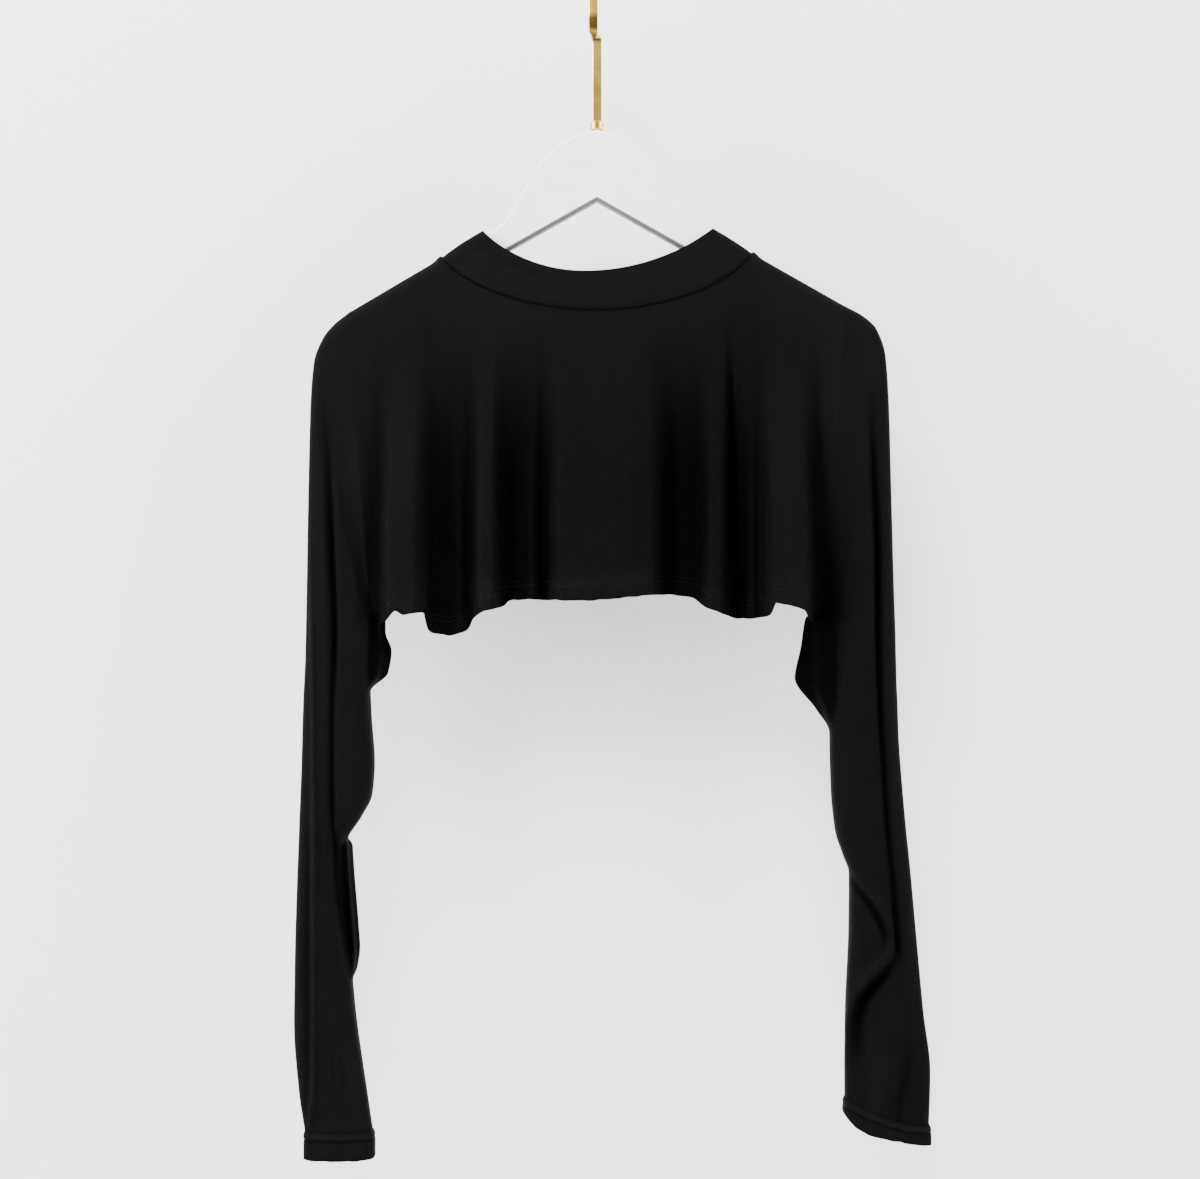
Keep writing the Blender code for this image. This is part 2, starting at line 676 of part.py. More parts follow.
def hook_path():
    """Middle line of the strip in the hook's own plane, from the shank's foot to the tip.

    The shank rises in line with the hook's centre, kinks out by one radius, and then
    follows a circle over the top and down past the level of its middle.
    """
    middle = HOOK_RADIUS + STRIP_THICKNESS / 2.0
    path = [(0.0, HOOK_SHANK_FOOT_Z), (0.0, HOOK_KINK_LOW_Z - HOOK_SHANK_EASE)]
    for turn in np.linspace(0.0, 1.0, KINK_POINTS):
        out = middle * float(smooth(turn))
        path.append((out, HOOK_KINK_LOW_Z + (HOOK_KINK_HIGH_Z - HOOK_KINK_LOW_Z) * turn))
    for angle in np.linspace(0.0, math.radians(HOOK_TIP_SWEEP), CROOK_POINTS):
        path.append((middle * math.cos(angle), -HOOK_RADIUS + middle * math.sin(angle)))
    return np.asarray(path)


def make_hook(collection):
    """The hook: flat strip carried along its path as a ring of four corners at each point."""
    path = hook_path()
    ahead = np.gradient(path, axis=0)
    ahead /= np.linalg.norm(ahead, axis=1, keepdims=True)
    flat = np.stack([-ahead[:, 1], ahead[:, 0]], axis=1)
    plane = np.array([math.cos(math.radians(HOOK_TURN)), math.sin(math.radians(HOOK_TURN))])
    out = np.array([-plane[0], plane[1], 0.0])
    wide = np.array([plane[1], plane[0], 0.0])
    shape = bmesh.new()
    rings = []
    for place, normal in zip(path, flat):
        ring = []
        for across, through in ((-1, -1), (1, -1), (1, 1), (-1, 1)):
            shift = place + normal * through * STRIP_THICKNESS / 2.0
            spot = out * shift[0] + wide * across * STRIP_WIDTH / 2.0
            ring.append(shape.verts.new((spot[0] * MM, spot[1] * MM, shift[1] * MM)))
        rings.append(ring)
    for low, high in zip(rings, rings[1:]):
        for corner in range(4):
            after = (corner + 1) % 4
            shape.faces.new((low[corner], low[after], high[after], high[corner]))
    shape.faces.new(rings[0])
    shape.faces.new(rings[-1])
    bmesh.ops.recalc_face_normals(shape, faces=shape.faces)
    mesh = bpy.data.meshes.new("hanger_hook")
    shape.to_mesh(mesh)
    shape.free()
    mesh.materials.append(make_material(BRASS))
    hook = bpy.data.objects.new("hanger_hook", mesh)
    collection.objects.link(hook)
    soft = hook.modifiers.new("edge", "BEVEL")
    soft.width = STRIP_EDGE * MM
    soft.segments = 1
    soft.limit_method = "ANGLE"
    soft.angle_limit = math.radians(STRIP_EDGE_ANGLE)
    return hook


def make_ferrule(collection):
    """The ferrule: a turned ring round the shank, standing on the board's crown."""
    foot = BOARD_TOP_Z + SEAM_GAP
    inner = math.hypot(STRIP_WIDTH, STRIP_THICKNESS) / 2.0 + SEAM_GAP
    profile = (
        (inner, foot + FERRULE_HEIGHT),
        (FERRULE_RADIUS - FERRULE_CHAMFER, foot + FERRULE_HEIGHT),
        (FERRULE_RADIUS, foot + FERRULE_HEIGHT - FERRULE_CHAMFER),
        (FERRULE_RADIUS, foot + FERRULE_CHAMFER),
        (FERRULE_RADIUS - FERRULE_CHAMFER, foot),
        (inner, foot),
        (inner, foot + FERRULE_HEIGHT),
    )
    mesh = bpy.data.meshes.new("hanger_ferrule")
    points = [(radius * MM, 0.0, height * MM) for radius, height in profile]
    mesh.from_pydata(points, [(i, i + 1) for i in range(len(points) - 1)], [])
    mesh.materials.append(make_material(BRASS))
    ferrule = bpy.data.objects.new("hanger_ferrule", mesh)
    collection.objects.link(ferrule)
    turned = ferrule.modifiers.new("turned", "SCREW")
    turned.steps = FERRULE_STEPS
    turned.render_steps = FERRULE_STEPS
    turned.use_merge_vertices = True
    turned.merge_threshold = WELD
    turned.use_smooth_shade = True
    joined = ferrule.modifiers.new("joined", "WELD")
    joined.merge_threshold = WELD
    return ferrule


# ---------------------------------------------------------------- assembly
def main():
    """Builds every piece in its own named object."""
    clear_scene()
    top = bpy.data.collections.new("sleeved_collar_cover")
    bpy.context.scene.collection.children.link(top)
    cloth("front", panel_points(-1.0, FRONT_FOLDS, FRONT_HEM), False, CLOTH_WALL, top)
    cloth("back", panel_points(1.0, BACK_FOLDS, BACK_HEM)[:, ::-1], False, CLOTH_WALL, top)
    for side, name, sections in ((-1, "left", LEFT_SLEEVE), (1, "right", RIGHT_SLEEVE)):
        way = slice(None, None, -side)
        sleeve = sleeve_points(side, sections, CUFFS[side])[:, way]
        cloth(name + "_sleeve", sleeve, True, CLOTH_WALL, top)
        cuff = cuff_points(side, sections, CUFFS[side])[:, way]
        cloth(name + "_cuff", cuff, True, CUFF_WALL, top)
    cloth("collar", collar_points(), True, COLLAR_WALL, top)
    board = flat_curve("hanger_board", board_outline(), BOARD_THICKNESS, BOARD_EDGE)
    as_mesh("hanger_board", board, (math.pi / 2.0, 0.0, 0.0), top, WHITE_PAINT)
    make_hook(top)
    make_ferrule(top)


main()
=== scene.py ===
"""Look of a cropped jersey top with a stand collar, hung on a painted wooden hanger.

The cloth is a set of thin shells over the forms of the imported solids, worked out in
millimetres from the same sizes. Creases, hems, seams and stitching are added to them.
The hanger's own solids stay and get their paint and polish.

Axes: +X to the right as seen from the front, +Y to the back, +Z up. The origin is the
highest point inside the hook.
"""

import logging
import math
from collections.abc import Sequence
from dataclasses import dataclass, field
from enum import IntEnum
from typing import Any, NamedTuple

import bpy
import numpy as np
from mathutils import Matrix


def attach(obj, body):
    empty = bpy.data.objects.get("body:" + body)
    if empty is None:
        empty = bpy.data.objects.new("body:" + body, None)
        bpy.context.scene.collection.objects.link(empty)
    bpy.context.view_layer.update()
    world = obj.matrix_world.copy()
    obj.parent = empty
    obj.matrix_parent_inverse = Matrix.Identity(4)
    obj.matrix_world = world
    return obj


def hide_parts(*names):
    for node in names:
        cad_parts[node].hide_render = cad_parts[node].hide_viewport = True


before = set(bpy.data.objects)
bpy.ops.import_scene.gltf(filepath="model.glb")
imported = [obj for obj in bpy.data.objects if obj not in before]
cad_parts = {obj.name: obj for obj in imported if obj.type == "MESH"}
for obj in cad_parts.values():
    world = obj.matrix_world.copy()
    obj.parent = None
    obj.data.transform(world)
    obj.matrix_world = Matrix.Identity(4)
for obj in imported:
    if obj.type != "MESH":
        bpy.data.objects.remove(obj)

LOG = logging.getLogger("sleeved_collar_cover")
MM = 0.001
BODY = "root"
CLOTH_MAP = "cloth"
# Name of the point attribute that holds painted light and shade: painted shade deep in folds, painted
# light on ridges.
PAINTED_LIGHT = "painted_light"
RIM_ANGLE = 62.0  # degrees; a sharper edge of the cloth stays crisp
SAME_PLACE = 0.01  # millimetres
LINE_STEPS = 6  # points that a crease's line gets for each of its spots
RING_POINTS = 6  # points round a stitch
RINGS = 4  # rings along a stitch, between its two ends
WHITE = (1.0, 1.0, 1.0, 1.0)
NO_TURN = (0.0, 0.0, 0.0)
Array = np.ndarray


class Side(IntEnum):
    """A side of the picture, as the sign of its X."""

    LEFT = -1
    RIGHT = 1


class Face(IntEnum):
    """A face of the garment, as the sign of its Y."""

    FRONT = -1
    BACK = 1


# ---------------------------------------------------------------- curves and tables
def smooth(t: Array) -> Array:
    """Eased step from 0 to 1: t squared times 3 minus 2t, with t held between 0 and 1."""
    t = np.clip(t, 0.0, 1.0)
    return t * t * (3.0 - 2.0 * t)


def quarter_round(t: Array) -> Array:
    """Height of a quarter circle: 0 at t = 0, rising steeply, level at 1 for t = 1."""
    t = np.clip(t, 0.0, 1.0)
    return np.sqrt(1.0 - (1.0 - t) ** 2)


def hump(t: Array) -> Array:
    """Bell curve of height 1 and half width 1: e to the power of minus t squared."""
    return np.exp(-(t**2))


def between(x: Array, knots: Sequence[float], values: Sequence[float]) -> Array:
    """Smooth curve through a table's rows, with no overshoot between two rows.

    A cubic runs between each two rows. Its slope at a row is the harmonic mean of the
    slopes on both sides, or 0 where these differ in sign.

    Args:
        x: Places to read the curve at.
        knots: Places of the rows, rising.
        values: The value of each row.

    Returns:
        The curve's height at each place.
    """
    knots = np.asarray(knots, dtype=float)
    values = np.asarray(values, dtype=float)
    steps = np.diff(values) / np.diff(knots)
    slopes = np.zeros_like(values)
    same_way = steps[1:] * steps[:-1] > 0.0
    total = np.where(same_way, steps[1:] + steps[:-1], 1.0)
    slopes[1:-1] = np.where(same_way, 2.0 * steps[1:] * steps[:-1] / total, 0.0)
    slopes[0] = steps[0]
    slopes[-1] = steps[-1]
    x = np.clip(np.asarray(x, dtype=float), knots[0], knots[-1])
    i = np.clip(np.searchsorted(knots, x, side="right") - 1, 0, len(knots) - 2)
    width = knots[i + 1] - knots[i]
    t = (x - knots[i]) / width
    start = (1.0 + 2.0 * t) * (1.0 - t) ** 2 * values[i]
    start_slope = t * (1.0 - t) ** 2 * width * slopes[i]
    end = t * t * (3.0 - 2.0 * t) * values[i + 1]
    end_slope = t * t * (t - 1.0) * width * slopes[i + 1]
    return start + start_slope + end + end_slope


def uneven(x: Array, length: float, seed: float) -> Array:
    """Waves of uneven height and spacing: four sines whose lengths share no common part.

    Args:
        x: Places along the wave.
        length: The mean length of a wave, in the same unit.
        seed: Shifts the waves, so that two rows differ.

    Returns:
        Heights that stay between about -1 and 1.
    """
    turn = 2.0 * math.pi * x / length
    low = 0.42 * np.sin(turn + seed) + 0.27 * np.sin(1.618 * turn + 2.1 * seed)
    return low + 0.21 * np.sin(0.577 * turn + 3.7 * seed) + 0.1 * np.sin(2.71 * turn + seed)


# ---------------------------------------------------------------- creases
class Spot(NamedTuple):
    """One place on a crease: where it is, how wide there, and its share of the rise."""

    x: float
    z: float
    half: float
    share: float


@dataclass(frozen=True)
class Crease:
    """A soft ridge or trough drawn over a piece through its spots, from its top down.

    The same form also draws streaks of painted light: painted shade where its rise is below 0, a
    painted highlight where it is above. Its rise is then a share of the painted light.

    Attributes:
        rise: How far it stands out, in millimetres. A negative one sinks.
        spots: The places that it runs through.
        left: How many times wider it is on its left side.
        right: How many times wider it is on its right side.
    """

    rise: float
    spots: tuple[Spot, ...]
    left: float = 1.0
    right: float = 1.0

    def rises(self, x: Array, z: Array) -> Array:
        """Height that the crease adds: a bell curve of the distance from its line.

        Args:
            x: Places across, in millimetres.
            z: Heights, in millimetres.

        Returns:
            The rise at each place, in millimetres.
        """
        steps = np.linspace(0.0, len(self.spots) - 1.0, LINE_STEPS * len(self.spots))
        columns = [between(steps, range(len(self.spots)), c) for c in zip(*self.spots)]
        line = np.stack(columns, axis=1)
        nearest = np.full(x.shape, np.inf)
        total = np.zeros(x.shape)
        for start, end in zip(line[:-1], line[1:]):
            along_x, along_z = end[:2] - start[:2]
            t = (x - start[0]) * along_x + (z - start[1]) * along_z
            t = np.clip(t / (along_x**2 + along_z**2), 0.0, 1.0)
            off = np.hypot(x - start[0] - t * along_x, z - start[1] - t * along_z)
            to_right = along_x * (z - start[1]) - along_z * (x - start[0]) > 0.0
            half = start[2] + (end[2] - start[2]) * t
            half = half * np.where(to_right, self.right, self.left)
            value = (start[3] + (end[3] - start[3]) * t) * hump(off / half)
            total = np.where(off < nearest, value, total)
            nearest = np.minimum(off, nearest)
        return self.rise * total


def crease_total(creases: tuple[Crease, ...], x: Array, z: Array) -> Array:
    """Sum of the rises of several creases at each place."""
    return sum((crease.rises(x, z) for crease in creases), np.zeros(x.shape))


# ---------------------------------------------------------------- meshes
def cloth_lengths(points: Array) -> tuple[Array, Array]:
    """Mean length of cloth across and down a grid, as its knit runs.

    Args:
        points: Grid of points, rows by columns by 3, in millimetres.

    Returns:
        The length up to each column and the length up to each row, in millimetres.
    """
    across = np.linalg.norm(np.diff(points, axis=1), axis=-1).mean(axis=0)
    down = np.linalg.norm(np.diff(points, axis=0), axis=-1).mean(axis=1)
    return np.append(0.0, np.cumsum(across)), np.append(0.0, np.cumsum(down))


def surface_area(points: Array) -> float:
    """Area of a grid's surface in square metres, from the diagonals of its quads."""
    first = points[1:, 1:] - points[:-1, :-1]
    second = points[1:, :-1] - points[:-1, 1:]
    return float(np.linalg.norm(np.cross(first, second), axis=-1).sum() / 2.0 * MM * MM)


def grid_object(
    name: str, points: Array, painted_light: Array, closed: bool, material: bpy.types.Material
) -> bpy.types.Object:
    """A mesh object from a grid of points, with the cloth's own lengths as its UV map.

    Args:
        name: Name of the new object.
        points: Grid of points, rows by columns by 3, in millimetres. A closed grid's last
            column repeats its first.
        painted_light: Painted light and shade at each point, from 0 for painted shade deep in a fold
            to 1 and above where it is painted lit.
        closed: Whether the columns run round a ring.
        material: The material of its faces.

    Returns:
        The object, linked to the scene.
    """
    rows, columns = points.shape[:2]
    across, down = cloth_lengths(points)
    kept = points[:, :-1] if closed else points
    painted_level = np.broadcast_to(painted_light, points.shape[:2])[:, : kept.shape[1]]
    width = kept.shape[1]
    row, column = np.meshgrid(np.arange(rows - 1), np.arange(columns - 1), indexing="ij")
    corner_rows = np.stack([row, row + 1, row + 1, row], axis=-1).reshape(-1)
    corner_columns = np.stack([column, column, column + 1, column + 1], axis=-1).reshape(-1)
    faces = (rows - 1) * (columns - 1)
    mesh = bpy.data.meshes.new(name)
    mesh.vertices.add(rows * width)
    mesh.vertices.foreach_set("co", (kept * MM).ravel())
    mesh.loops.add(4 * faces)
    mesh.loops.foreach_set("vertex_index", corner_rows * width + corner_columns % width)
    mesh.polygons.add(faces)
    mesh.polygons.foreach_set("loop_start", 4 * np.arange(faces))
    mesh.polygons.foreach_set("loop_total", np.full(faces, 4))
    mesh.update(calc_edges=True)
    lengths = np.stack([across[corner_columns], -down[corner_rows]], axis=-1)
    mesh.uv_layers.new(name=CLOTH_MAP).data.foreach_set("uv", (lengths * MM).ravel())
    # The painted light and shade, stored on the points.
    painted_light_data = mesh.attributes.new(PAINTED_LIGHT, "FLOAT", "POINT").data
    painted_light_data.foreach_set("value", painted_level.ravel().astype(np.float32))
    mesh.shade_smooth()
    mesh.materials.append(material)
    piece = bpy.data.objects.new(name, mesh)
    bpy.context.scene.collection.objects.link(piece)
    return piece


def thicken(piece: bpy.types.Object, wall: float) -> None:
    """Gives a sheet its thickness, half to each side, with crisp cut edges.

    Args:
        piece: The sheet.
        wall: Thickness in millimetres.
    """
    solid = piece.modifiers.new("wall", "SOLIDIFY")
    solid.thickness = wall * MM
    solid.offset = 0.0
    graph = bpy.context.evaluated_depsgraph_get()
    thick = bpy.data.meshes.new_from_object(piece.evaluated_get(graph), depsgraph=graph)
    thin = piece.data
    piece.modifiers.clear()
    piece.data = thick
    bpy.data.meshes.remove(thin)
    thick.name = piece.name
    thick.set_sharp_from_angle(angle=math.radians(RIM_ANGLE))


@dataclass(frozen=True)
class StitchSize:
    """A seam's stitches, in millimetres: their length, thickness and pitch, and how far
    their middle lies off the cloth."""

    length: float = 2.5
    thickness: float = 0.42
    pitch: float = 3.1
    lift: float = 0.05


def stitches(
    name: str,
    middles: Array,
    aheads: Array,
    outs: Array,
    size: StitchSize,
    material: bpy.types.Material,
) -> bpy.types.Object:
    """Many short stitches of thread as one object, each a small closed oval.

    A stitch is middle + ahead * long * cos(a) + (side * cos(b) + out * sin(b)) * thick *
    sin(a), for a from 0 to a half turn and b round a full turn.

    Args:
        name: Name of the new object.
        middles: Middle of each stitch, in millimetres.
        aheads: Unit direction of each stitch along its seam.
        outs: Unit direction out of the cloth at each stitch.
        size: Sizes of the stitches.
        material: The thread's material.

    Returns:
        The object, linked to the scene.
    """
    sides = np.cross(outs, aheads)
    a = np.linspace(0.0, math.pi, RINGS + 2)[1:-1]
    b = np.arange(RING_POINTS) / RING_POINTS * 2.0 * math.pi
    long = size.length / 2.0
    thick = size.thickness / 2.0
    around = sides[:, None, None] * np.cos(b)[None, None, :, None]
    around = around + outs[:, None, None] * np.sin(b)[None, None, :, None]
    rings = aheads[:, None, None] * long * np.cos(a)[None, :, None, None]
    rings = rings + around * thick * np.sin(a)[None, :, None, None]
    rings = (middles[:, None, None] + rings).reshape(len(middles), -1, 3)
    poles = np.stack([middles + aheads * long, middles - aheads * long], axis=1)
    points = np.concatenate([rings, poles], axis=1)
    sides_round = [(c, (c + 1) % RING_POINTS) for c in range(RING_POINTS)]
    starts = [ring * RING_POINTS for ring in range(RINGS)]
    front_pole, back_pole = RINGS * RING_POINTS, RINGS * RING_POINTS + 1
    quads = [
        (start + c, below + c, below + d, start + d)
        for start, below in zip(starts[:-1], starts[1:])
        for c, d in sides_round
    ]
    caps = [(front_pole, c, d) for c, d in sides_round]
    caps += [(back_pole, starts[-1] + d, starts[-1] + c) for c, d in sides_round]
    first = [number * (back_pole + 1) for number in range(len(middles))]
    faces = [tuple(base + i for i in face) for base in first for face in quads + caps]
    mesh = bpy.data.meshes.new(name)
    mesh.from_pydata((points.reshape(-1, 3) * MM).tolist(), [], faces)
    mesh.shade_smooth()
    mesh.materials.append(material)
    piece = bpy.data.objects.new(name, mesh)
    bpy.context.scene.collection.objects.link(piece)
    return piece


# ---------------------------------------------------------------- shader nodes
class Wire:
    """A node's socket or a number, on which maths is written with Python's operators."""

    def __init__(self, graph: "Graph", value: Any) -> None:
        """Keeps the graph that the maths goes into, and the socket or number."""
        self.graph = graph
        self.value = value

    def maths(self, operation: str, *others: Any) -> "Wire":
        """One Math node on this value and up to two others."""
        values = [o.value if isinstance(o, Wire) else o for o in (self, *others)]
        return self.graph.node("ShaderNodeMath", {"operation": operation}, dict(enumerate(values)))

    def __add__(self, other: Any) -> "Wire":
        """This plus other."""
        return self.maths("ADD", other)

    def __sub__(self, other: Any) -> "Wire":
        """This minus other."""
        return self.maths("SUBTRACT", other)

    def __rsub__(self, other: Any) -> "Wire":
        """Other minus this."""
        return Wire(self.graph, other).maths("SUBTRACT", self)

    def __mul__(self, other: Any) -> "Wire":
        """This times other."""
        return self.maths("MULTIPLY", other)

    __radd__ = __add__
    __rmul__ = __mul__

    def held(self, most: float = 1.0) -> "Wire":
        """This, but at least 0 and at most the given number."""
        return self.maths("MAXIMUM", 0.0).maths("MINIMUM", most)


class Graph:
    """The node tree of one material, with one Principled shader."""

    def __init__(self, name: str, constants: dict[str, Any]) -> None:
        """Starts a material.

        Args:
            name: The material's name.
            constants: Values of the shader's own sockets.
        """
        self.material = bpy.data.materials.new(name)
        self.material.use_nodes = True
        self.tree = self.material.node_tree
        self.shader = self.tree.nodes["Principled BSDF"]
        self.output = self.tree.nodes["Material Output"]
        for socket, value in constants.items():
            self.shader.inputs[socket].default_value = value

    def node(
        self, kind: str, settings: dict[str, Any], inputs: dict[Any, Any], output: Any = 0
    ) -> Wire:
        """Adds a node of any kind.

        Args:
            kind: The node's type.
            settings: Its own settings, set before its sockets.
            inputs: A value or a wire for each of its sockets, by name or number.
            output: Name or number of the socket that is handed back.

        Returns:
            The node's output as a wire.
        """
        node = self.tree.nodes.new(kind)
        for name, value in settings.items():
            setattr(node, name, value)
        for name, value in inputs.items():
            value = value.value if isinstance(value, Wire) else value
            if isinstance(value, bpy.types.NodeSocket):
                self.tree.links.new(value, node.inputs[name])
            else:
                node.inputs[name].default_value = value
        return Wire(self, node.outputs[output])

    def feed(self, socket: str, wire: Wire) -> None:
        """Links a wire to one of the shader's sockets."""
        self.tree.links.new(wire.value, self.shader.inputs[socket])

    def mix(self, share: Any, first: Any, second: Any) -> Wire:
        """Mixes two colours by a share from 0 to 1."""
        settings = {"data_type": "RGBA"}
        return self.node("ShaderNodeMix", settings, {0: share, 6: first, 7: second}, 2)

    def noise(self, place: Wire, scale: float, detail: float) -> Wire:
        """Noise of a given scale and detail at each place."""
        inputs = {"Vector": place, "Scale": scale, "Detail": detail}
        return self.node("ShaderNodeTexNoise", {}, inputs)

    def place(self) -> Wire:
        """The place on the object, in metres."""
        return self.node("ShaderNodeTexCoord", {}, {}, "Object")

    def stretch(self, place: Wire, scale: tuple, rotation: tuple = NO_TURN) -> Wire:
        """A place turned and scaled by a Mapping node."""
        inputs = {"Vector": place, "Rotation": rotation, "Scale": scale}
        return self.node("ShaderNodeMapping", {}, inputs)

    def parts(self, place: Wire) -> tuple[Wire, Wire, Wire]:
        """The three numbers of a place."""
        first = self.node("ShaderNodeSeparateXYZ", {}, {0: place}, 0)
        node = first.value.node
        return first, Wire(self, node.outputs[1]), Wire(self, node.outputs[2])

    def bump(self, height: Wire, depth: float, strength: float) -> None:
        """Feeds the shader's normal from a height, with its full depth in metres."""
        inputs = {"Height": height, "Distance": depth, "Strength": strength}
        self.feed("Normal", self.node("ShaderNodeBump", {}, inputs))


@dataclass(frozen=True)
class Jersey:
    """Fine plain-knit stretch jersey: columns of small V stitches, matte and fuzzy, with light and
    shade painted into its colour.

    Attributes:
        name: The material's name.
        colour: Its colour where the painted shade is full, deep in a fold.
        lit_colour: Its colour where it is painted lit, on a ridge.
        roughness: Mean roughness.
        roughness_swing: How much the roughness varies in patches.
        sheen: Weight of the sheen on the nap.
        specular: Level of the gloss.
        wale: Width of one column of stitches, in millimetres.
        course: Height of one row of stitches, in millimetres.
        depth: Depth of the knit, in metres.
        knit_share: The knit's share of the relief; the fuzz has the rest.
        fuzz_scale: Scale of the noise that draws the fuzz.
        patch_scale: Scale of the noise that draws patches of uneven tone.
        patch_stretch: Their scale along the height, so that they run downwards.
        painted_light_gain: Share of the lit colour for a painted light of 1.
        fuzz_tone: How much the fuzz varies the colour.
        patch_tone: How much the patches vary it.
        base_tone: What stays where both are dark.
    """

    name: str = "black_jersey"
    colour: tuple = (0.00015, 0.00015, 0.00015, 1.0)
    lit_colour: tuple = (0.0032, 0.00328, 0.00335, 1.0)
    roughness: float = 0.62
    roughness_swing: float = 0.16
    sheen: float = 0.002
    specular: float = 0.012
    wale: float = 0.8
    course: float = 0.62
    depth: float = 0.00012
    knit_share: float = 0.75
    fuzz_scale: float = 900.0
    patch_scale: float = 38.0
    patch_stretch: float = 0.35
    painted_light_gain: float = 0.8
    fuzz_tone: float = 0.3
    patch_tone: float = 0.5
    base_tone: float = 0.6

    def material(self) -> bpy.types.Material:
        """The knit's nodes.

        The height of a stitch is the sine of the course, shifted up the course towards
        the middle of its wale, which draws a V, times the rounded profile of the wale.

        Returns:
            The finished material.
        """
        constants = {
            "Roughness": self.roughness,
            "Sheen Weight": self.sheen,
            "Sheen Roughness": 0.5,
            "Sheen Tint": (0.9, 0.9, 0.92, 1.0),
            "Specular IOR Level": self.specular,
        }
        graph = Graph(self.name, constants)
        cloth = graph.node("ShaderNodeUVMap", {"uv_map": CLOTH_MAP}, {})
        across, down, _ = graph.parts(cloth)
        wale = (across * (1.0 / (self.wale * MM))).maths("PINGPONG", 0.5) * 2.0
        course = down * (2.0 * math.pi / (self.course * MM)) + wale * math.pi
        stitch = (course.maths("SINE") * 0.5 + 0.5) * (wale * math.pi).maths("SINE")
        place = graph.place()
        fuzz = graph.noise(place, self.fuzz_scale, 3.0)
        runs = graph.stretch(place, (1.0, 1.0, self.patch_stretch))
        patches = graph.noise(runs, self.patch_scale, 4.0)
        # Painted light and shade from the mesh: the colour runs from the shade colour in the folds to
        # the lit colour on the ridges, varied by the fuzz and the patches.
        painted_level = graph.node("ShaderNodeAttribute", {"attribute_name": PAINTED_LIGHT}, {}, "Fac")
        varied = fuzz * self.fuzz_tone + (patches * self.patch_tone + self.base_tone)
        tone = (painted_level * self.painted_light_gain).maths("MAXIMUM", 0.0) * varied
        graph.feed("Base Color", graph.mix(tone, self.colour, self.lit_colour))
        least = self.roughness - self.roughness_swing / 2.0
        graph.feed("Roughness", patches * self.roughness_swing + least)
        relief = stitch * self.knit_share + fuzz * (1.0 - self.knit_share)
        graph.bump(relief, self.depth, 0.6)
        return graph.material


@dataclass(frozen=True)
class Thread:
    """Black sewing thread, a little glossier than the knit.

    Attributes:
        name: The material's name.
        colour: Its colour.
        tip: Its colour where its plies catch the light.
        roughness: Its roughness.
        specular: Level of its gloss.
        ply_scale: Scale of the noise that draws its plies.
        depth: Depth of the plies, in metres.
    """

    name: str = "black_thread"
    colour: tuple = (0.0006, 0.0006, 0.0006, 1.0)
    tip: tuple = (0.0055, 0.0055, 0.0056, 1.0)
    roughness: float = 0.6
    specular: float = 0.05
    ply_scale: float = 260.0
    depth: float = 0.00008

    def material(self) -> bpy.types.Material:
        """The thread's nodes: fine noise for its twisted plies."""
        constants = {"Roughness": self.roughness, "Specular IOR Level": self.specular}
        graph = Graph(self.name, constants)
        plies = graph.noise(graph.place(), self.ply_scale, 3.0)
        graph.feed("Base Color", graph.mix(plies, self.colour, self.tip))
        graph.bump(plies, self.depth, 0.5)
        return graph.material


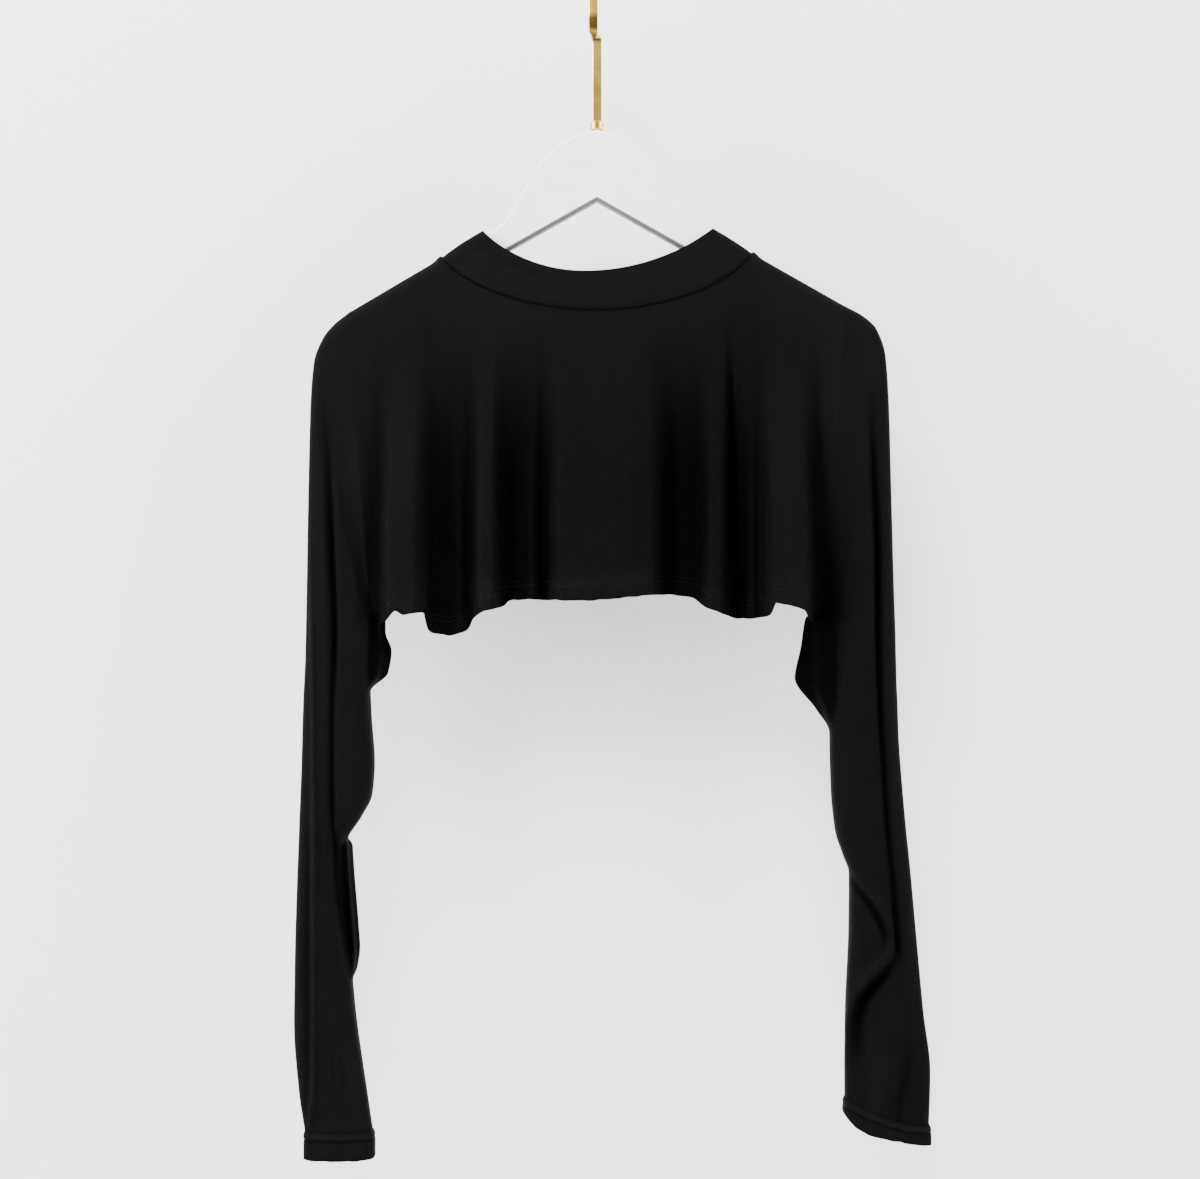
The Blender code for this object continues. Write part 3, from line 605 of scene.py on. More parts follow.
@dataclass(frozen=True)
class PaintedWood:
    """White satin paint brushed on wood, with faint strokes and a soft grain below.

    Attributes:
        name: The material's name.
        colour: The paint's colour.
        shade: Its colour in the troughs of the strokes.
        underside_shade: Painted shade of the underside, which faces down, out of the light.
        apex_z: Height of the underside in the middle, in millimetres.
        underside_slope: How steeply the underside falls to both sides.
        underside_band: How far up the painted shade reaches at the lower edge, in millimetres.
        edge_gain: How fast it ends there, a metre.
        roughness: Mean roughness.
        stroke_tilt: Slant of the brush strokes, in degrees, mirrored on the other side.
        stroke_scale: Scale of the strokes along X, Y and Z, before they are slanted.
        grain_scale: Scale of the wood's grain.
        stroke_tone: How strongly the troughs of the strokes are shaded.
        base_tone: Share of the shade between the strokes.
        middle_gain: How fast one slant gives way to the other at the middle, a metre.
        crown_gain: How fast the strokes get stronger up the board, a metre.
        crown_base: Sets where they start to: height times gain plus base is 0 there.
        least_strokes: Strength of the strokes low on the board.
        depth: Depth of the strokes, in metres.
    """

    name: str = "white_painted_wood"
    colour: tuple = (0.9, 0.9, 0.9, 1.0)
    shade: tuple = (0.76, 0.765, 0.77, 1.0)
    underside_shade: tuple = (0.1, 0.1, 0.103, 1.0)
    apex_z: float = -179.0
    underside_slope: float = 0.563
    underside_band: float = 2.4
    edge_gain: float = 1200.0
    roughness: float = 0.42
    stroke_tilt: float = 32.0
    stroke_scale: tuple = (34, 1, 420)
    grain_scale: tuple = (30, 200, 700)
    stroke_tone: float = -2.6
    base_tone: float = 0.16
    middle_gain: float = 90.0
    crown_gain: float = 22.0
    crown_base: float = 4.9
    least_strokes: float = 0.25
    depth: float = 0.0006

    def strokes(self, graph: Graph, place: Wire, turn: int) -> Wire:
        """Noise in long strokes, slanted one way or the other by the sign of the turn."""
        tilt = (0.0, math.radians(turn * self.stroke_tilt), 0.0)
        return graph.noise(graph.stretch(place, self.stroke_scale, tilt), 1.0, 3.0)

    def material(self) -> bpy.types.Material:
        """The paint's nodes: two slanted sets of brush strokes over a fine long grain, and painted
        shade on the underside.
        """
        constants = {"Roughness": self.roughness, "Coat Weight": 0.12, "Coat Roughness": 0.3}
        graph = Graph(self.name, constants)
        place = graph.place()
        across, _, height = graph.parts(place)
        side = (across * self.middle_gain + 0.5).held()
        left = self.strokes(graph, place, 1)
        right = self.strokes(graph, place, -1)
        strokes = left * (1.0 - side) + right * side
        crown = (height * self.crown_gain + self.crown_base).held()
        strokes = (strokes - 0.5) * (crown * (1.0 - self.least_strokes) + self.least_strokes)
        grain = graph.noise(graph.stretch(place, self.grain_scale), 1.0, 2.0)
        tone = (strokes * self.stroke_tone + self.base_tone).held()
        # Painted shade on the board's underside, seen from below and out of the light.
        above = height + across.maths("ABSOLUTE") * self.underside_slope - self.apex_z * MM
        edge = 1.0 + self.underside_band * MM * self.edge_gain
        under = (above * -self.edge_gain + edge).held()
        painted = graph.mix(tone, self.colour, self.shade)
        graph.feed("Base Color", graph.mix(under, painted, self.underside_shade))
        graph.feed("Roughness", grain * 0.2 + (self.roughness - 0.1))
        graph.bump(strokes + grain * 0.15, self.depth, 0.35)
        return graph.material


class ReflectionBand(NamedTuple):
    """A band of painted dark reflection across the hook's strip: its height and half height in
    millimetres.
    """

    z: float
    half: float


@dataclass(frozen=True)
class Brass:
    """Polished yellow brass with fine drawing lines along the strip and slight tarnish.

    Attributes:
        name: The material's name.
        colour: The bright metal.
        tarnish: Its colour where it has dulled.
        dark: Its colour in the bends, a painted dark reflection.
        reflection_bands: The bends in the strip, where a dark reflection is painted.
        reflection_gain: How fast a band's painted reflection comes in from its edge.
        roughness: Roughness of the bright metal.
        line_scale: Scale of the drawing lines along X, Y and Z.
        patch_scale: Scale of the tarnished patches.
        low_gain: How fast the tarnish grows down the shank, a metre.
        low_start: Height times gain at which it starts.
        low_most: The most of it.
        depth: Depth of the drawing lines, in metres.
    """

    name: str = "polished_brass"
    colour: tuple = (0.87, 0.6, 0.17, 1.0)
    tarnish: tuple = (0.42, 0.25, 0.04, 1.0)
    dark: tuple = (0.04, 0.022, 0.005, 1.0)
    reflection_bands: tuple = (ReflectionBand(-40.0, 8.0), ReflectionBand(-57.0, 5.0))
    reflection_gain: float = 1.8
    roughness: float = 0.16
    line_scale: tuple = (2200, 2200, 26)
    patch_scale: float = 90.0
    low_gain: float = -10.0
    low_start: float = 0.7
    low_most: float = 0.4
    depth: float = 0.00006

    def material(self) -> bpy.types.Material:
        """The metal's nodes: long fine lines, soft patches of tarnish and painted dark reflections at
        the bends.

        The tarnish also grows down the shank. A band's painted reflection is 1 minus the
        distance from its middle over its half height, times a gain, broken up by the lines.

        Returns:
            The finished material.
        """
        graph = Graph(self.name, {"Metallic": 1.0, "Roughness": self.roughness})
        place = graph.place()
        _, _, height = graph.parts(place)
        lines = graph.noise(graph.stretch(place, self.line_scale), 1.0, 2.0)
        patches = graph.noise(place, self.patch_scale, 4.0)
        tone = (patches * 2.4 - 0.95).held()
        low = (height * self.low_gain - self.low_start).held(self.low_most)
        metal = graph.mix(tone * 0.6 + low, self.colour, self.tarnish)
        # Painted dark reflections across the strip at its bends.
        for band in self.reflection_bands:
            off = (height - band.z * MM).maths("ABSOLUTE") * (-1.0 / (band.half * MM)) + 1.0
            share = (off * self.reflection_gain).held()
            metal = graph.mix(share * (lines * 0.5 + 0.6), metal, self.dark)
        graph.feed("Base Color", metal)
        graph.feed("Roughness", patches * 0.14 + (lines * 0.08 + (self.roughness - 0.07)))
        graph.bump(lines, self.depth, 0.4)
        return graph.material


@dataclass(frozen=True)
class Plaster:
    """Matte pale wall or floor, seen from its front only.

    Attributes:
        name: The material's name.
        colour: Its colour.
    """

    name: str
    colour: tuple

    def material(self) -> bpy.types.Material:
        """A matte surface that is clear from behind, so that the back can be looked at."""
        constants = {"Base Color": self.colour, "Roughness": 0.9, "Specular IOR Level": 0.15}
        graph = Graph(self.name, constants)
        clear = graph.node("ShaderNodeBsdfTransparent", {}, {})
        behind = graph.node("ShaderNodeNewGeometry", {}, {}, "Backfacing")
        shader = graph.shader.outputs[0]
        shown = graph.node("ShaderNodeMixShader", {}, {0: behind, 1: shader, 2: clear})
        graph.tree.links.new(shown.value, graph.output.inputs[0])
        return graph.material


# ---------------------------------------------------------------- the garment's sizes
class Shoulder(NamedTuple):
    """One shoulder seam: a straight line that falls outwards from the neck point."""

    neck_z: float
    slope: float


@dataclass(frozen=True)
class Form:
    """Sizes that the panels, the collar and the sleeves share, in millimetres.

    Attributes:
        shoulders: The shoulder seam on each side.
        neck_half: Half the width of the neck's seam.
        neck_middle_z: Height of the neck's seam in the middle.
        neck_sag_power: How the seam sags; a low power makes it flat in the middle.
        neck_round_power: How the places of the columns spread along the seam.
        neck_step_power: How much closer they are at the neck points.
        neck_roll_share: Share of a quarter in which the seam comes out of the shoulder.
        neck_depth: Stand-off of the neck's seam in the middle.
        shoulder_depth: Stand-off of the cloth over the hanger.
        chest_swell_half: Half the width of the upper chest's swell.
        shoulder_roll: Height over which the cloth rolls over the shoulder.
        armhole_top_half: Distance out of the armhole at the shoulder seam.
        underarm_half: Distance out of the underarm.
        underarm_z: Height of the underarm.
        armhole_swell: How much the armhole's stand-off swells half-way down.
        underarm_round_share: Share of the armhole that is rounded at the underarm.
        neck_bump: Height of the bump where the collar's seam meets the shoulder's.
        neck_bump_out: How far out from the neck point it stands.
        neck_bump_half: Its half width.
        cloth_wall: Thickness of the jersey as shown.
    """

    shoulders: dict = field(
        default_factory=lambda: {
            Side.LEFT: Shoulder(-220.5, 0.59),
            Side.RIGHT: Shoulder(-217.4, 0.567),
        }
    )
    neck_half: float = 114.0
    neck_middle_z: float = -262.5
    neck_sag_power: float = 0.72
    neck_round_power: float = 1.6
    neck_step_power: float = 1.3
    neck_roll_share: float = 0.16
    neck_depth: float = 26.0
    shoulder_depth: float = 8.8
    chest_swell_half: float = 120.0
    shoulder_roll: float = 9.0
    armhole_top_half: float = 183.0
    underarm_half: float = 166.0
    underarm_z: float = -478.0
    armhole_swell: float = 3.0
    underarm_round_share: float = 0.1
    neck_bump: float = 1.8
    neck_bump_out: float = 2.0
    neck_bump_half: float = 3.5
    cloth_wall: float = 0.8

    def shoulder_z(self, x: Array) -> Array:
        """Height of the shoulder seam: neck_z - slope * (distance out), with a seam's bump."""
        x = np.asarray(x, dtype=float)
        out = np.abs(x) - self.neck_half
        seams = self.shoulders
        left = seams[Side.LEFT].neck_z - seams[Side.LEFT].slope * out
        right = seams[Side.RIGHT].neck_z - seams[Side.RIGHT].slope * out
        bump = self.neck_bump * hump((out - self.neck_bump_out) / self.neck_bump_half)
        return np.where(x < 0.0, left, right) + bump

    def chest_depth(self, x: Array) -> Array:
        """Stand-off of the upper chest: a parabola from the shoulder's to the neck's."""
        swell = np.clip(1.0 - (x / self.chest_swell_half) ** 2, 0.0, 1.0)
        return self.shoulder_depth + (self.neck_depth - self.shoulder_depth) * swell

    def neck_steps(self, count: int) -> Array:
        """Shares of the way from a neck point to the middle, closer at the neck point."""
        return (np.arange(count + 1) / count) ** self.neck_step_power

    def seam_quarter(self, step: Array, side: Side) -> tuple[Array, Array, Array]:
        """The collar seam on one side.

        x is half * (1 - step ** round power), y follows a quarter circle out of the
        shoulder's line, and z sags to the middle as (1 - (x / half)^2) ** power.

        Args:
            step: Shares of the way from the neck point to the middle.
            side: The side of the picture.

        Returns:
            Distance out, stand-off and height, in millimetres.
        """
        x = self.neck_half * (1.0 - step**self.neck_round_power)
        y = self.chest_depth(x) * quarter_round(step / self.neck_roll_share)
        fall = (1.0 - (x / self.neck_half) ** 2) ** self.neck_sag_power
        neck_z = self.shoulders[side].neck_z
        return x, y, neck_z + (self.neck_middle_z - neck_z) * fall

    def armhole(self, t: Array, side: Side) -> tuple[Array, Array]:
        """The armhole: a straight line down, whose stand-off swells as half a sine.

        Args:
            t: 0 at the shoulder seam, 1 at the underarm.
            side: The side of the picture.

        Returns:
            Distance out and stand-off on one face, in millimetres.
        """
        top_z = float(self.shoulder_z(side * self.armhole_top_half))
        x = self.armhole_top_half + (self.underarm_half - self.armhole_top_half) * t
        over_board = quarter_round((top_z - self.underarm_z) * t / self.shoulder_roll)
        round_under = quarter_round((1.0 - t) / self.underarm_round_share)
        swell = self.shoulder_depth + self.armhole_swell * np.sin(math.pi * t)
        return x, swell * over_board * round_under


class Fold(NamedTuple):
    """One hanging fold of a panel, as a ridge with a round top.

    It grows from nothing at the start height to its rise at the full height. Its painted
    light is how light its top is painted, against the painted shade of the valleys.
    """

    centre: float
    half_width: float
    edge: float
    rise: float
    start_z: float
    full_z: float
    painted_light: float


class HemPoint(NamedTuple):
    """Height of the hem at one place across the body."""

    x: float
    z: float


class RowShare(NamedTuple):
    """Share of the way down a panel at a share of its rows."""

    rows: float
    down: float


class SheetCut(NamedTuple):
    """The flat cloth of a sheet: width and length in metres, and its area where less."""

    width: float
    length: float
    area: float | None = None

    @property
    def flat(self) -> tuple[float, float]:
        """Width and length, as a pair."""
        return self.width, self.length


@dataclass
class Panel:
    """The front or the back of the body, from the collar seam and shoulders to the hem.

    Attributes:
        name: Name of the node that it replaces.
        face: The face of the garment.
        folds: The hanging folds.
        hem: Heights of the hem.
        creases: The smaller creases.
        shades: Streaks of painted shade and painted highlight.
        cut: The flat cloth. It is not used.
        seed: Shifts the small waves, so that the two panels differ.
        form: The garment's shared sizes.
        shoulder_columns: Columns along a shoulder.
        neck_columns: Columns along half the neck.
        rows: Rows down to the hem.
        row_shares: How the rows spread: close at the top and in the hem.
        valley_depth: Stand-off of the cloth between two folds.
        fold_top_z: Height where the chest starts to sink to that stand-off.
        fold_full_z: Height where it has sunk.
        fold_crown: How much a fold's round top falls to its edges.
        seam_ease: Width over which the panel eases to the armhole.
        seam_over: How far it runs under the sleeve's edge.
        band_height: Height of the turned hem.
        band_rise: How much thicker it is.
        band_edge: Height over which it gets thicker.
        stitch_inset: How far below the band's top the upper stitches run.
        stitch_gap: How far apart the two rows of stitches are.
        stitch_sink: How deep the stitches sink.
        stitch_half: Half width of that groove.
        lower_sink: Depth of the lower row's groove, as a share of the upper's.
        pucker: Height of the puckers at the stitches.
        pucker_half: Half the height over which they fade.
        hem_wave: Height of the small waves along the hem.
        ripple: Depth of the small waves down the panel.
        ripple_top: How far below the top they start.
        ripple_full: Over what height they grow.
        valley_light: Painted light between two folds, where painted shade falls.
        shade_top_z: Height where the folds' painted shade starts.
        shade_full_z: Height where it is there in full.
        full_shade_crease: Depth of a crease that is painted in full shade.
        hem_brightening: How much lighter the painted light is near the hem.
        hem_brightening_z: Height where that starts.
        hem_brightening_ease: Height over which it grows.
        side_x: Distance out where the painted light gets even towards the sleeve.
        side_ease: Width over which it does.
        chest_shade: How much darker a band of painted shade across the chest is.
        chest_shade_z: Height of that band.
        chest_shade_half: Its half height.
        chest_shade_side: Distance out where it starts to end.
        chest_shade_ease: Width over which it ends.
        shoulder_highlight: How much lighter the shoulder is painted, where light from above falls.
        shoulder_highlight_half: Half the height of that strip.
        seam_line: Height of the dark line below the collar.
        seam_light_left: What is left of the painted light in it.
    """

    name: str
    face: Face
    folds: tuple[Fold, ...]
    hem: tuple[HemPoint, ...]
    creases: tuple[Crease, ...]
    shades: tuple[Crease, ...]
    cut: SheetCut
    seed: float
    form: Form = field(default_factory=Form)
    shoulder_columns: int = 48
    neck_columns: int = 88
    rows: int = 150
    row_shares: tuple[RowShare, ...] = (
        RowShare(0.0, 0.0),
        RowShare(0.16, 0.03),
        RowShare(0.74, 0.9),
        RowShare(1.0, 1.0),
    )
    valley_depth: float = 13.0
    fold_top_z: float = -285.0
    fold_full_z: float = -435.0
    fold_crown: float = 0.16
    seam_ease: float = 13.0
    seam_over: float = 0.5
    band_height: float = 15.0
    band_rise: float = 0.45
    band_edge: float = 1.2
    stitch_inset: float = 1.5
    stitch_gap: float = 3.0
    stitch_sink: float = 0.35
    stitch_half: float = 0.9
    lower_sink: float = 0.7
    pucker: float = 0.5
    pucker_half: float = 5.5
    hem_wave: float = 0.5
    ripple: float = 0.35
    ripple_top: float = 12.0
    ripple_full: float = 60.0
    valley_light: float = 0.16
    shade_top_z: float = -252.0
    shade_full_z: float = -382.0
    full_shade_crease: float = 9.0
    hem_brightening: float = 0.25
    hem_brightening_z: float = -440.0
    hem_brightening_ease: float = 40.0
    side_x: float = 160.0
    side_ease: float = 8.0
    chest_shade: float = 0.16
    chest_shade_z: float = -312.0
    chest_shade_half: float = 62.0
    chest_shade_side: float = 118.0
    chest_shade_ease: float = 45.0
    shoulder_highlight: float = 0.3
    shoulder_highlight_half: float = 26.0
    seam_line: float = 2.2
    seam_light_left: float = 0.15

    def top_line(self) -> tuple[Array, Array, Array]:
        """The panel's upper edge, along one shoulder, the collar seam and the other shoulder.

        Returns:
            x, stand-off and height of each column, in millimetres.
        """
        form = self.form
        halves = {}
        for side in Side:
            out = np.linspace(form.armhole_top_half, form.neck_half, self.shoulder_columns + 1)[:-1]
            x, depth, z = form.seam_quarter(form.neck_steps(self.neck_columns), side)
            x = side * np.concatenate([out, x])
            depth = np.concatenate([np.zeros_like(out), depth])
            z = np.concatenate([form.shoulder_z(side * out), z])
            halves[side] = np.stack([x, depth, z])
        top = np.concatenate([halves[Side.LEFT], halves[Side.RIGHT][:, -2::-1]], axis=1)
        return top[0], top[1], top[2]

    def hem_line(self, top_x: Array) -> tuple[Array, Array]:
        """Place across and height of the hem below each column's top."""
        form = self.form
        hem_x = top_x * form.underarm_half / form.armhole_top_half
        return hem_x, between(hem_x, *zip(*self.hem))

    def shares_down(self) -> Array:
        """Share of the way down of each row."""
        return between(np.linspace(0.0, 1.0, self.rows + 1), *zip(*self.row_shares))

    def hanging(self, x: Array, z: Array) -> tuple[Array, Array]:
        """Depth that the folds add: each an eased ridge with a crown, grown with the height.

        Args:
            x: Places across, in millimetres.
            z: Heights, in millimetres.

        Returns:
            The depth at each place, in millimetres, and its painted light: shade between the folds,
            lit on their tops.
        """
        total = np.zeros_like(x)
        # Painted shade in the valleys between the folds, painted light on their tops.
        painted_light = np.full_like(x, self.valley_light)
        for fold in self.folds:
            grow = smooth((fold.start_z - z) / (fold.start_z - fold.full_z))
            off = np.abs(x - fold.centre)
            reach = fold.half_width + fold.edge / 2.0
            crown = 1.0 - self.fold_crown * np.clip(off / reach, 0.0, 1.0) ** 2
            cover = crown * smooth((reach - off) / fold.edge)
            total += fold.rise * grow * cover
            painted_light += (fold.painted_light - self.valley_light) * cover
        return total, painted_light

    def hem_relief(self, x: Array, up: Array) -> Array:
        """Relief of the turned hem: the doubled band, its stitch line and its puckers.

        Args:
            x: Places across, in millimetres.
            up: Heights above the hem, in millimetres.

        Returns:
            The rise at each place, in millimetres.
        """
        band = self.band_rise * smooth((self.band_height - up) / self.band_edge + 0.5)
        off = up - (self.band_height - self.stitch_inset)
        lower = hump((off + self.stitch_gap) / self.stitch_half)
        sunk = self.stitch_sink * (hump(off / self.stitch_half) + self.lower_sink * lower)
        gathers = uneven(x, 6.4, self.seed) + 0.6 * uneven(x, 11.0, self.seed + 1.3)
        puckers = self.pucker * gathers * hump(off / self.pucker_half)
        return band - sunk + puckers

    def ease_to_seam(self, x: Array, share: Array, middle: Array) -> tuple[Array, Array]:
        """Eases a depth to the armhole's near each side.

        Args:
            x: Places across, in millimetres.
            share: Share of the way down to the hem.
            middle: The panel's own depth.

        Returns:
            The depth, and how far the outermost points run under the sleeve.
        """
        left_x, left_depth = self.form.armhole(share, Side.LEFT)
        right_x, right_depth = self.form.armhole(share, Side.RIGHT)
        seam_x = np.where(x < 0.0, left_x, right_x)
        seam_depth = np.where(x < 0.0, left_depth, right_depth)
        ease = smooth((seam_x - np.abs(x)) / self.seam_ease)
        depth = seam_depth + (middle - seam_depth) * ease
        at_seam = seam_x - np.abs(x) < SAME_PLACE
        return np.maximum(depth, self.form.cloth_wall / 2.0), self.seam_over * at_seam

    def painted_fold_light(self, x: Array, z: Array, ridge_light: Array, creases: Array) -> Array:
        """Painted light and shade of the panel, before the seam and the streaks.

        It goes from 1 at the top to the folds' own lower down. Creases are painted in
        shade, the hem's part is painted lighter, and a band across the chest is painted darker.

        Args:
            x: Places across, in millimetres.
            z: Heights.
            ridge_light: The folds' own painted light.
            creases: Rise of the creases.

        Returns:
            The painted light at each place.
        """
        even = smooth((np.abs(x) - self.side_x) / self.side_ease)
        ridge_light = ridge_light + (1.0 - ridge_light) * even
        settled = smooth((self.shade_top_z - z) / (self.shade_top_z - self.shade_full_z))
        painted_light = 1.0 + (ridge_light - 1.0) * settled + creases / self.full_shade_crease
        # Painted lighter near the hem.
        painted_light = painted_light * (1.0 + self.hem_brightening * smooth((self.hem_brightening_z - z) / self.hem_brightening_ease))
        # A band of painted shade across the chest, fading towards the sides.
        inside = 1.0 - smooth((np.abs(x) - self.chest_shade_side) / self.chest_shade_ease)
        return painted_light * (1.0 - self.chest_shade * inside * hump((z - self.chest_shade_z) / self.chest_shade_half))

    def surface(self, columns: tuple[Array, Array, Array], share: Array) -> tuple[Array, Array]:
        """Points of the panel, and their painted light and shade.

        Each column runs straight from its top down to the hem, drawn in to the underarm.
        Its depth leaves the seam as a quarter circle and eases to the armhole's depth.

        Args:
            columns: x, stand-off and height of the top of each column.
            share: Share of the way down to the hem, as an array that fits the columns.

        Returns:
            The points, in millimetres, and the painted light of each.
        """
        form = self.form
        top_x, top_depth, top_z = columns
        hem_x, hem_z = self.hem_line(top_x)
        hem_z = hem_z + self.hem_wave * uneven(hem_x, 17.0, self.seed)
        x = top_x + (hem_x - top_x) * share
        z = top_z + (hem_z - top_z) * share
        below = top_z - z
        settle = smooth((self.fold_top_z - z) / (self.fold_top_z - self.fold_full_z))
        chest = form.chest_depth(x) + (self.valley_depth - form.chest_depth(x)) * settle
        folds, ridge_light = self.hanging(x, z)
        creases = crease_total(self.creases, x, z)
        ripples = self.ripple * uneven(x, 23.0, self.seed + 0.7)
        ripples = ripples * smooth((below - self.ripple_top) / self.ripple_full)
        rolled = quarter_round(below / form.shoulder_roll)
        middle = top_depth + (chest - top_depth) * rolled + (folds + creases + ripples)
        middle = middle + self.hem_relief(x, z - hem_z)
        depth, under = self.ease_to_seam(x, share, middle)
        # Painted light and shade: darker in the valleys and the creases.
        painted_light = self.painted_fold_light(x, z, ridge_light, creases)
        # Darker along the collar seam.
        at_neck = self.seam_light_left + (1.0 - self.seam_light_left) * smooth(below / self.seam_line)
        # A painted highlight along the shoulders, lit from above.
        lit_shoulder = 1.0 + self.shoulder_highlight * hump(below / self.shoulder_highlight_half)
        painted_light = painted_light * np.where(np.abs(top_x) < form.neck_half, at_neck, lit_shoulder)
        # Streaks of painted shade and painted highlight.
        painted_light = painted_light * np.clip(1.0 + crease_total(self.shades, x, z), 0.0, 2.0)
        return np.stack([x + np.sign(x) * under, self.face * depth, z], axis=-1), painted_light

    def stitch_row(self, up: float, size: StitchSize) -> tuple[Array, Array, Array]:
        """Places of one row of stitches along the hem.

        Args:
            up: Height of the row above the hem, in millimetres.
            size: The stitches' size.

        Returns:
            The middle, the direction along the hem and the direction out of each stitch.
        """
        columns = self.top_line()
        top_x, _, top_z = columns
        share = 1.0 - up / (top_z - self.hem_line(top_x)[1])
        row, _ = self.surface(columns, share)
        above, _ = self.surface(columns, share - 0.01)
        run = np.append(0.0, np.cumsum(np.linalg.norm(np.diff(row, axis=0), axis=1)))
        at = np.arange(size.pitch, run[-1] - size.pitch, size.pitch)
        middle = np.stack([np.interp(at, run, row[:, k]) for k in range(3)], axis=1)
        higher = np.stack([np.interp(at, run, above[:, k]) for k in range(3)], axis=1)
        ahead = np.gradient(middle, axis=0)
        ahead /= np.linalg.norm(ahead, axis=1, keepdims=True)
        out = np.cross(ahead, higher - middle)
        out /= np.linalg.norm(out, axis=1, keepdims=True)
        out *= np.sign(out[:, 1:2] * self.face)
        return middle + out * (self.form.cloth_wall / 2.0 + size.lift), ahead, out

    def build(self, jersey: bpy.types.Material, thread: bpy.types.Material) -> None:
        """Makes the panel and the two rows of stitches on its hem.

        Args:
            jersey: Material of the cloth.
            thread: Material of the stitches.
        """
        columns = self.top_line()
        points, painted_light = self.surface(columns, self.shares_down()[:, None])
        if self.face is Face.BACK:
            points, painted_light = points[:, ::-1], painted_light[:, ::-1]
        piece = grid_object(self.name + "_cloth", points, painted_light, False, jersey)
        thicken(piece, self.form.cloth_wall)
        size = StitchSize()
        upper = self.band_height - self.stitch_inset
        rows = [self.stitch_row(up, size) for up in (upper, upper - self.stitch_gap)]
        middles, aheads, outs = (np.concatenate(part) for part in zip(*rows))
        sewn = stitches(self.name + "_hem_stitches", middles, aheads, outs, size, thread)
        dress(piece, self.name)
        dress(sewn)
        LOG.info("%s: area %.4f m2, %d stitches", piece.name, surface_area(points), len(middles))


def dress(piece: bpy.types.Object, replaced: str = "") -> None:
    """Ties a piece to the body and hides the solid that it replaces.

    Args:
        piece: The new piece.
        replaced: The node that it stands for, if any.
    """
    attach(piece, BODY)
    if replaced:
        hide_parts(replaced)


# ---------------------------------------------------------------- sleeves and cuffs
class SleeveSection(NamedTuple):
    """One level of a sleeve. Outer and inner are distances from the middle of the body.

    The tuck is how much further in the cloth stands behind than in front.
    """

    z: float
    outer: float
    inner: float
    tuck: float
    front_depth: float
    back_depth: float


class CuffEnd(NamedTuple):
    """Heights of a cuff at its outer and inner side: its seam and its free edge."""

    outer_top: float
    inner_top: float
    outer_bottom: float
    inner_bottom: float


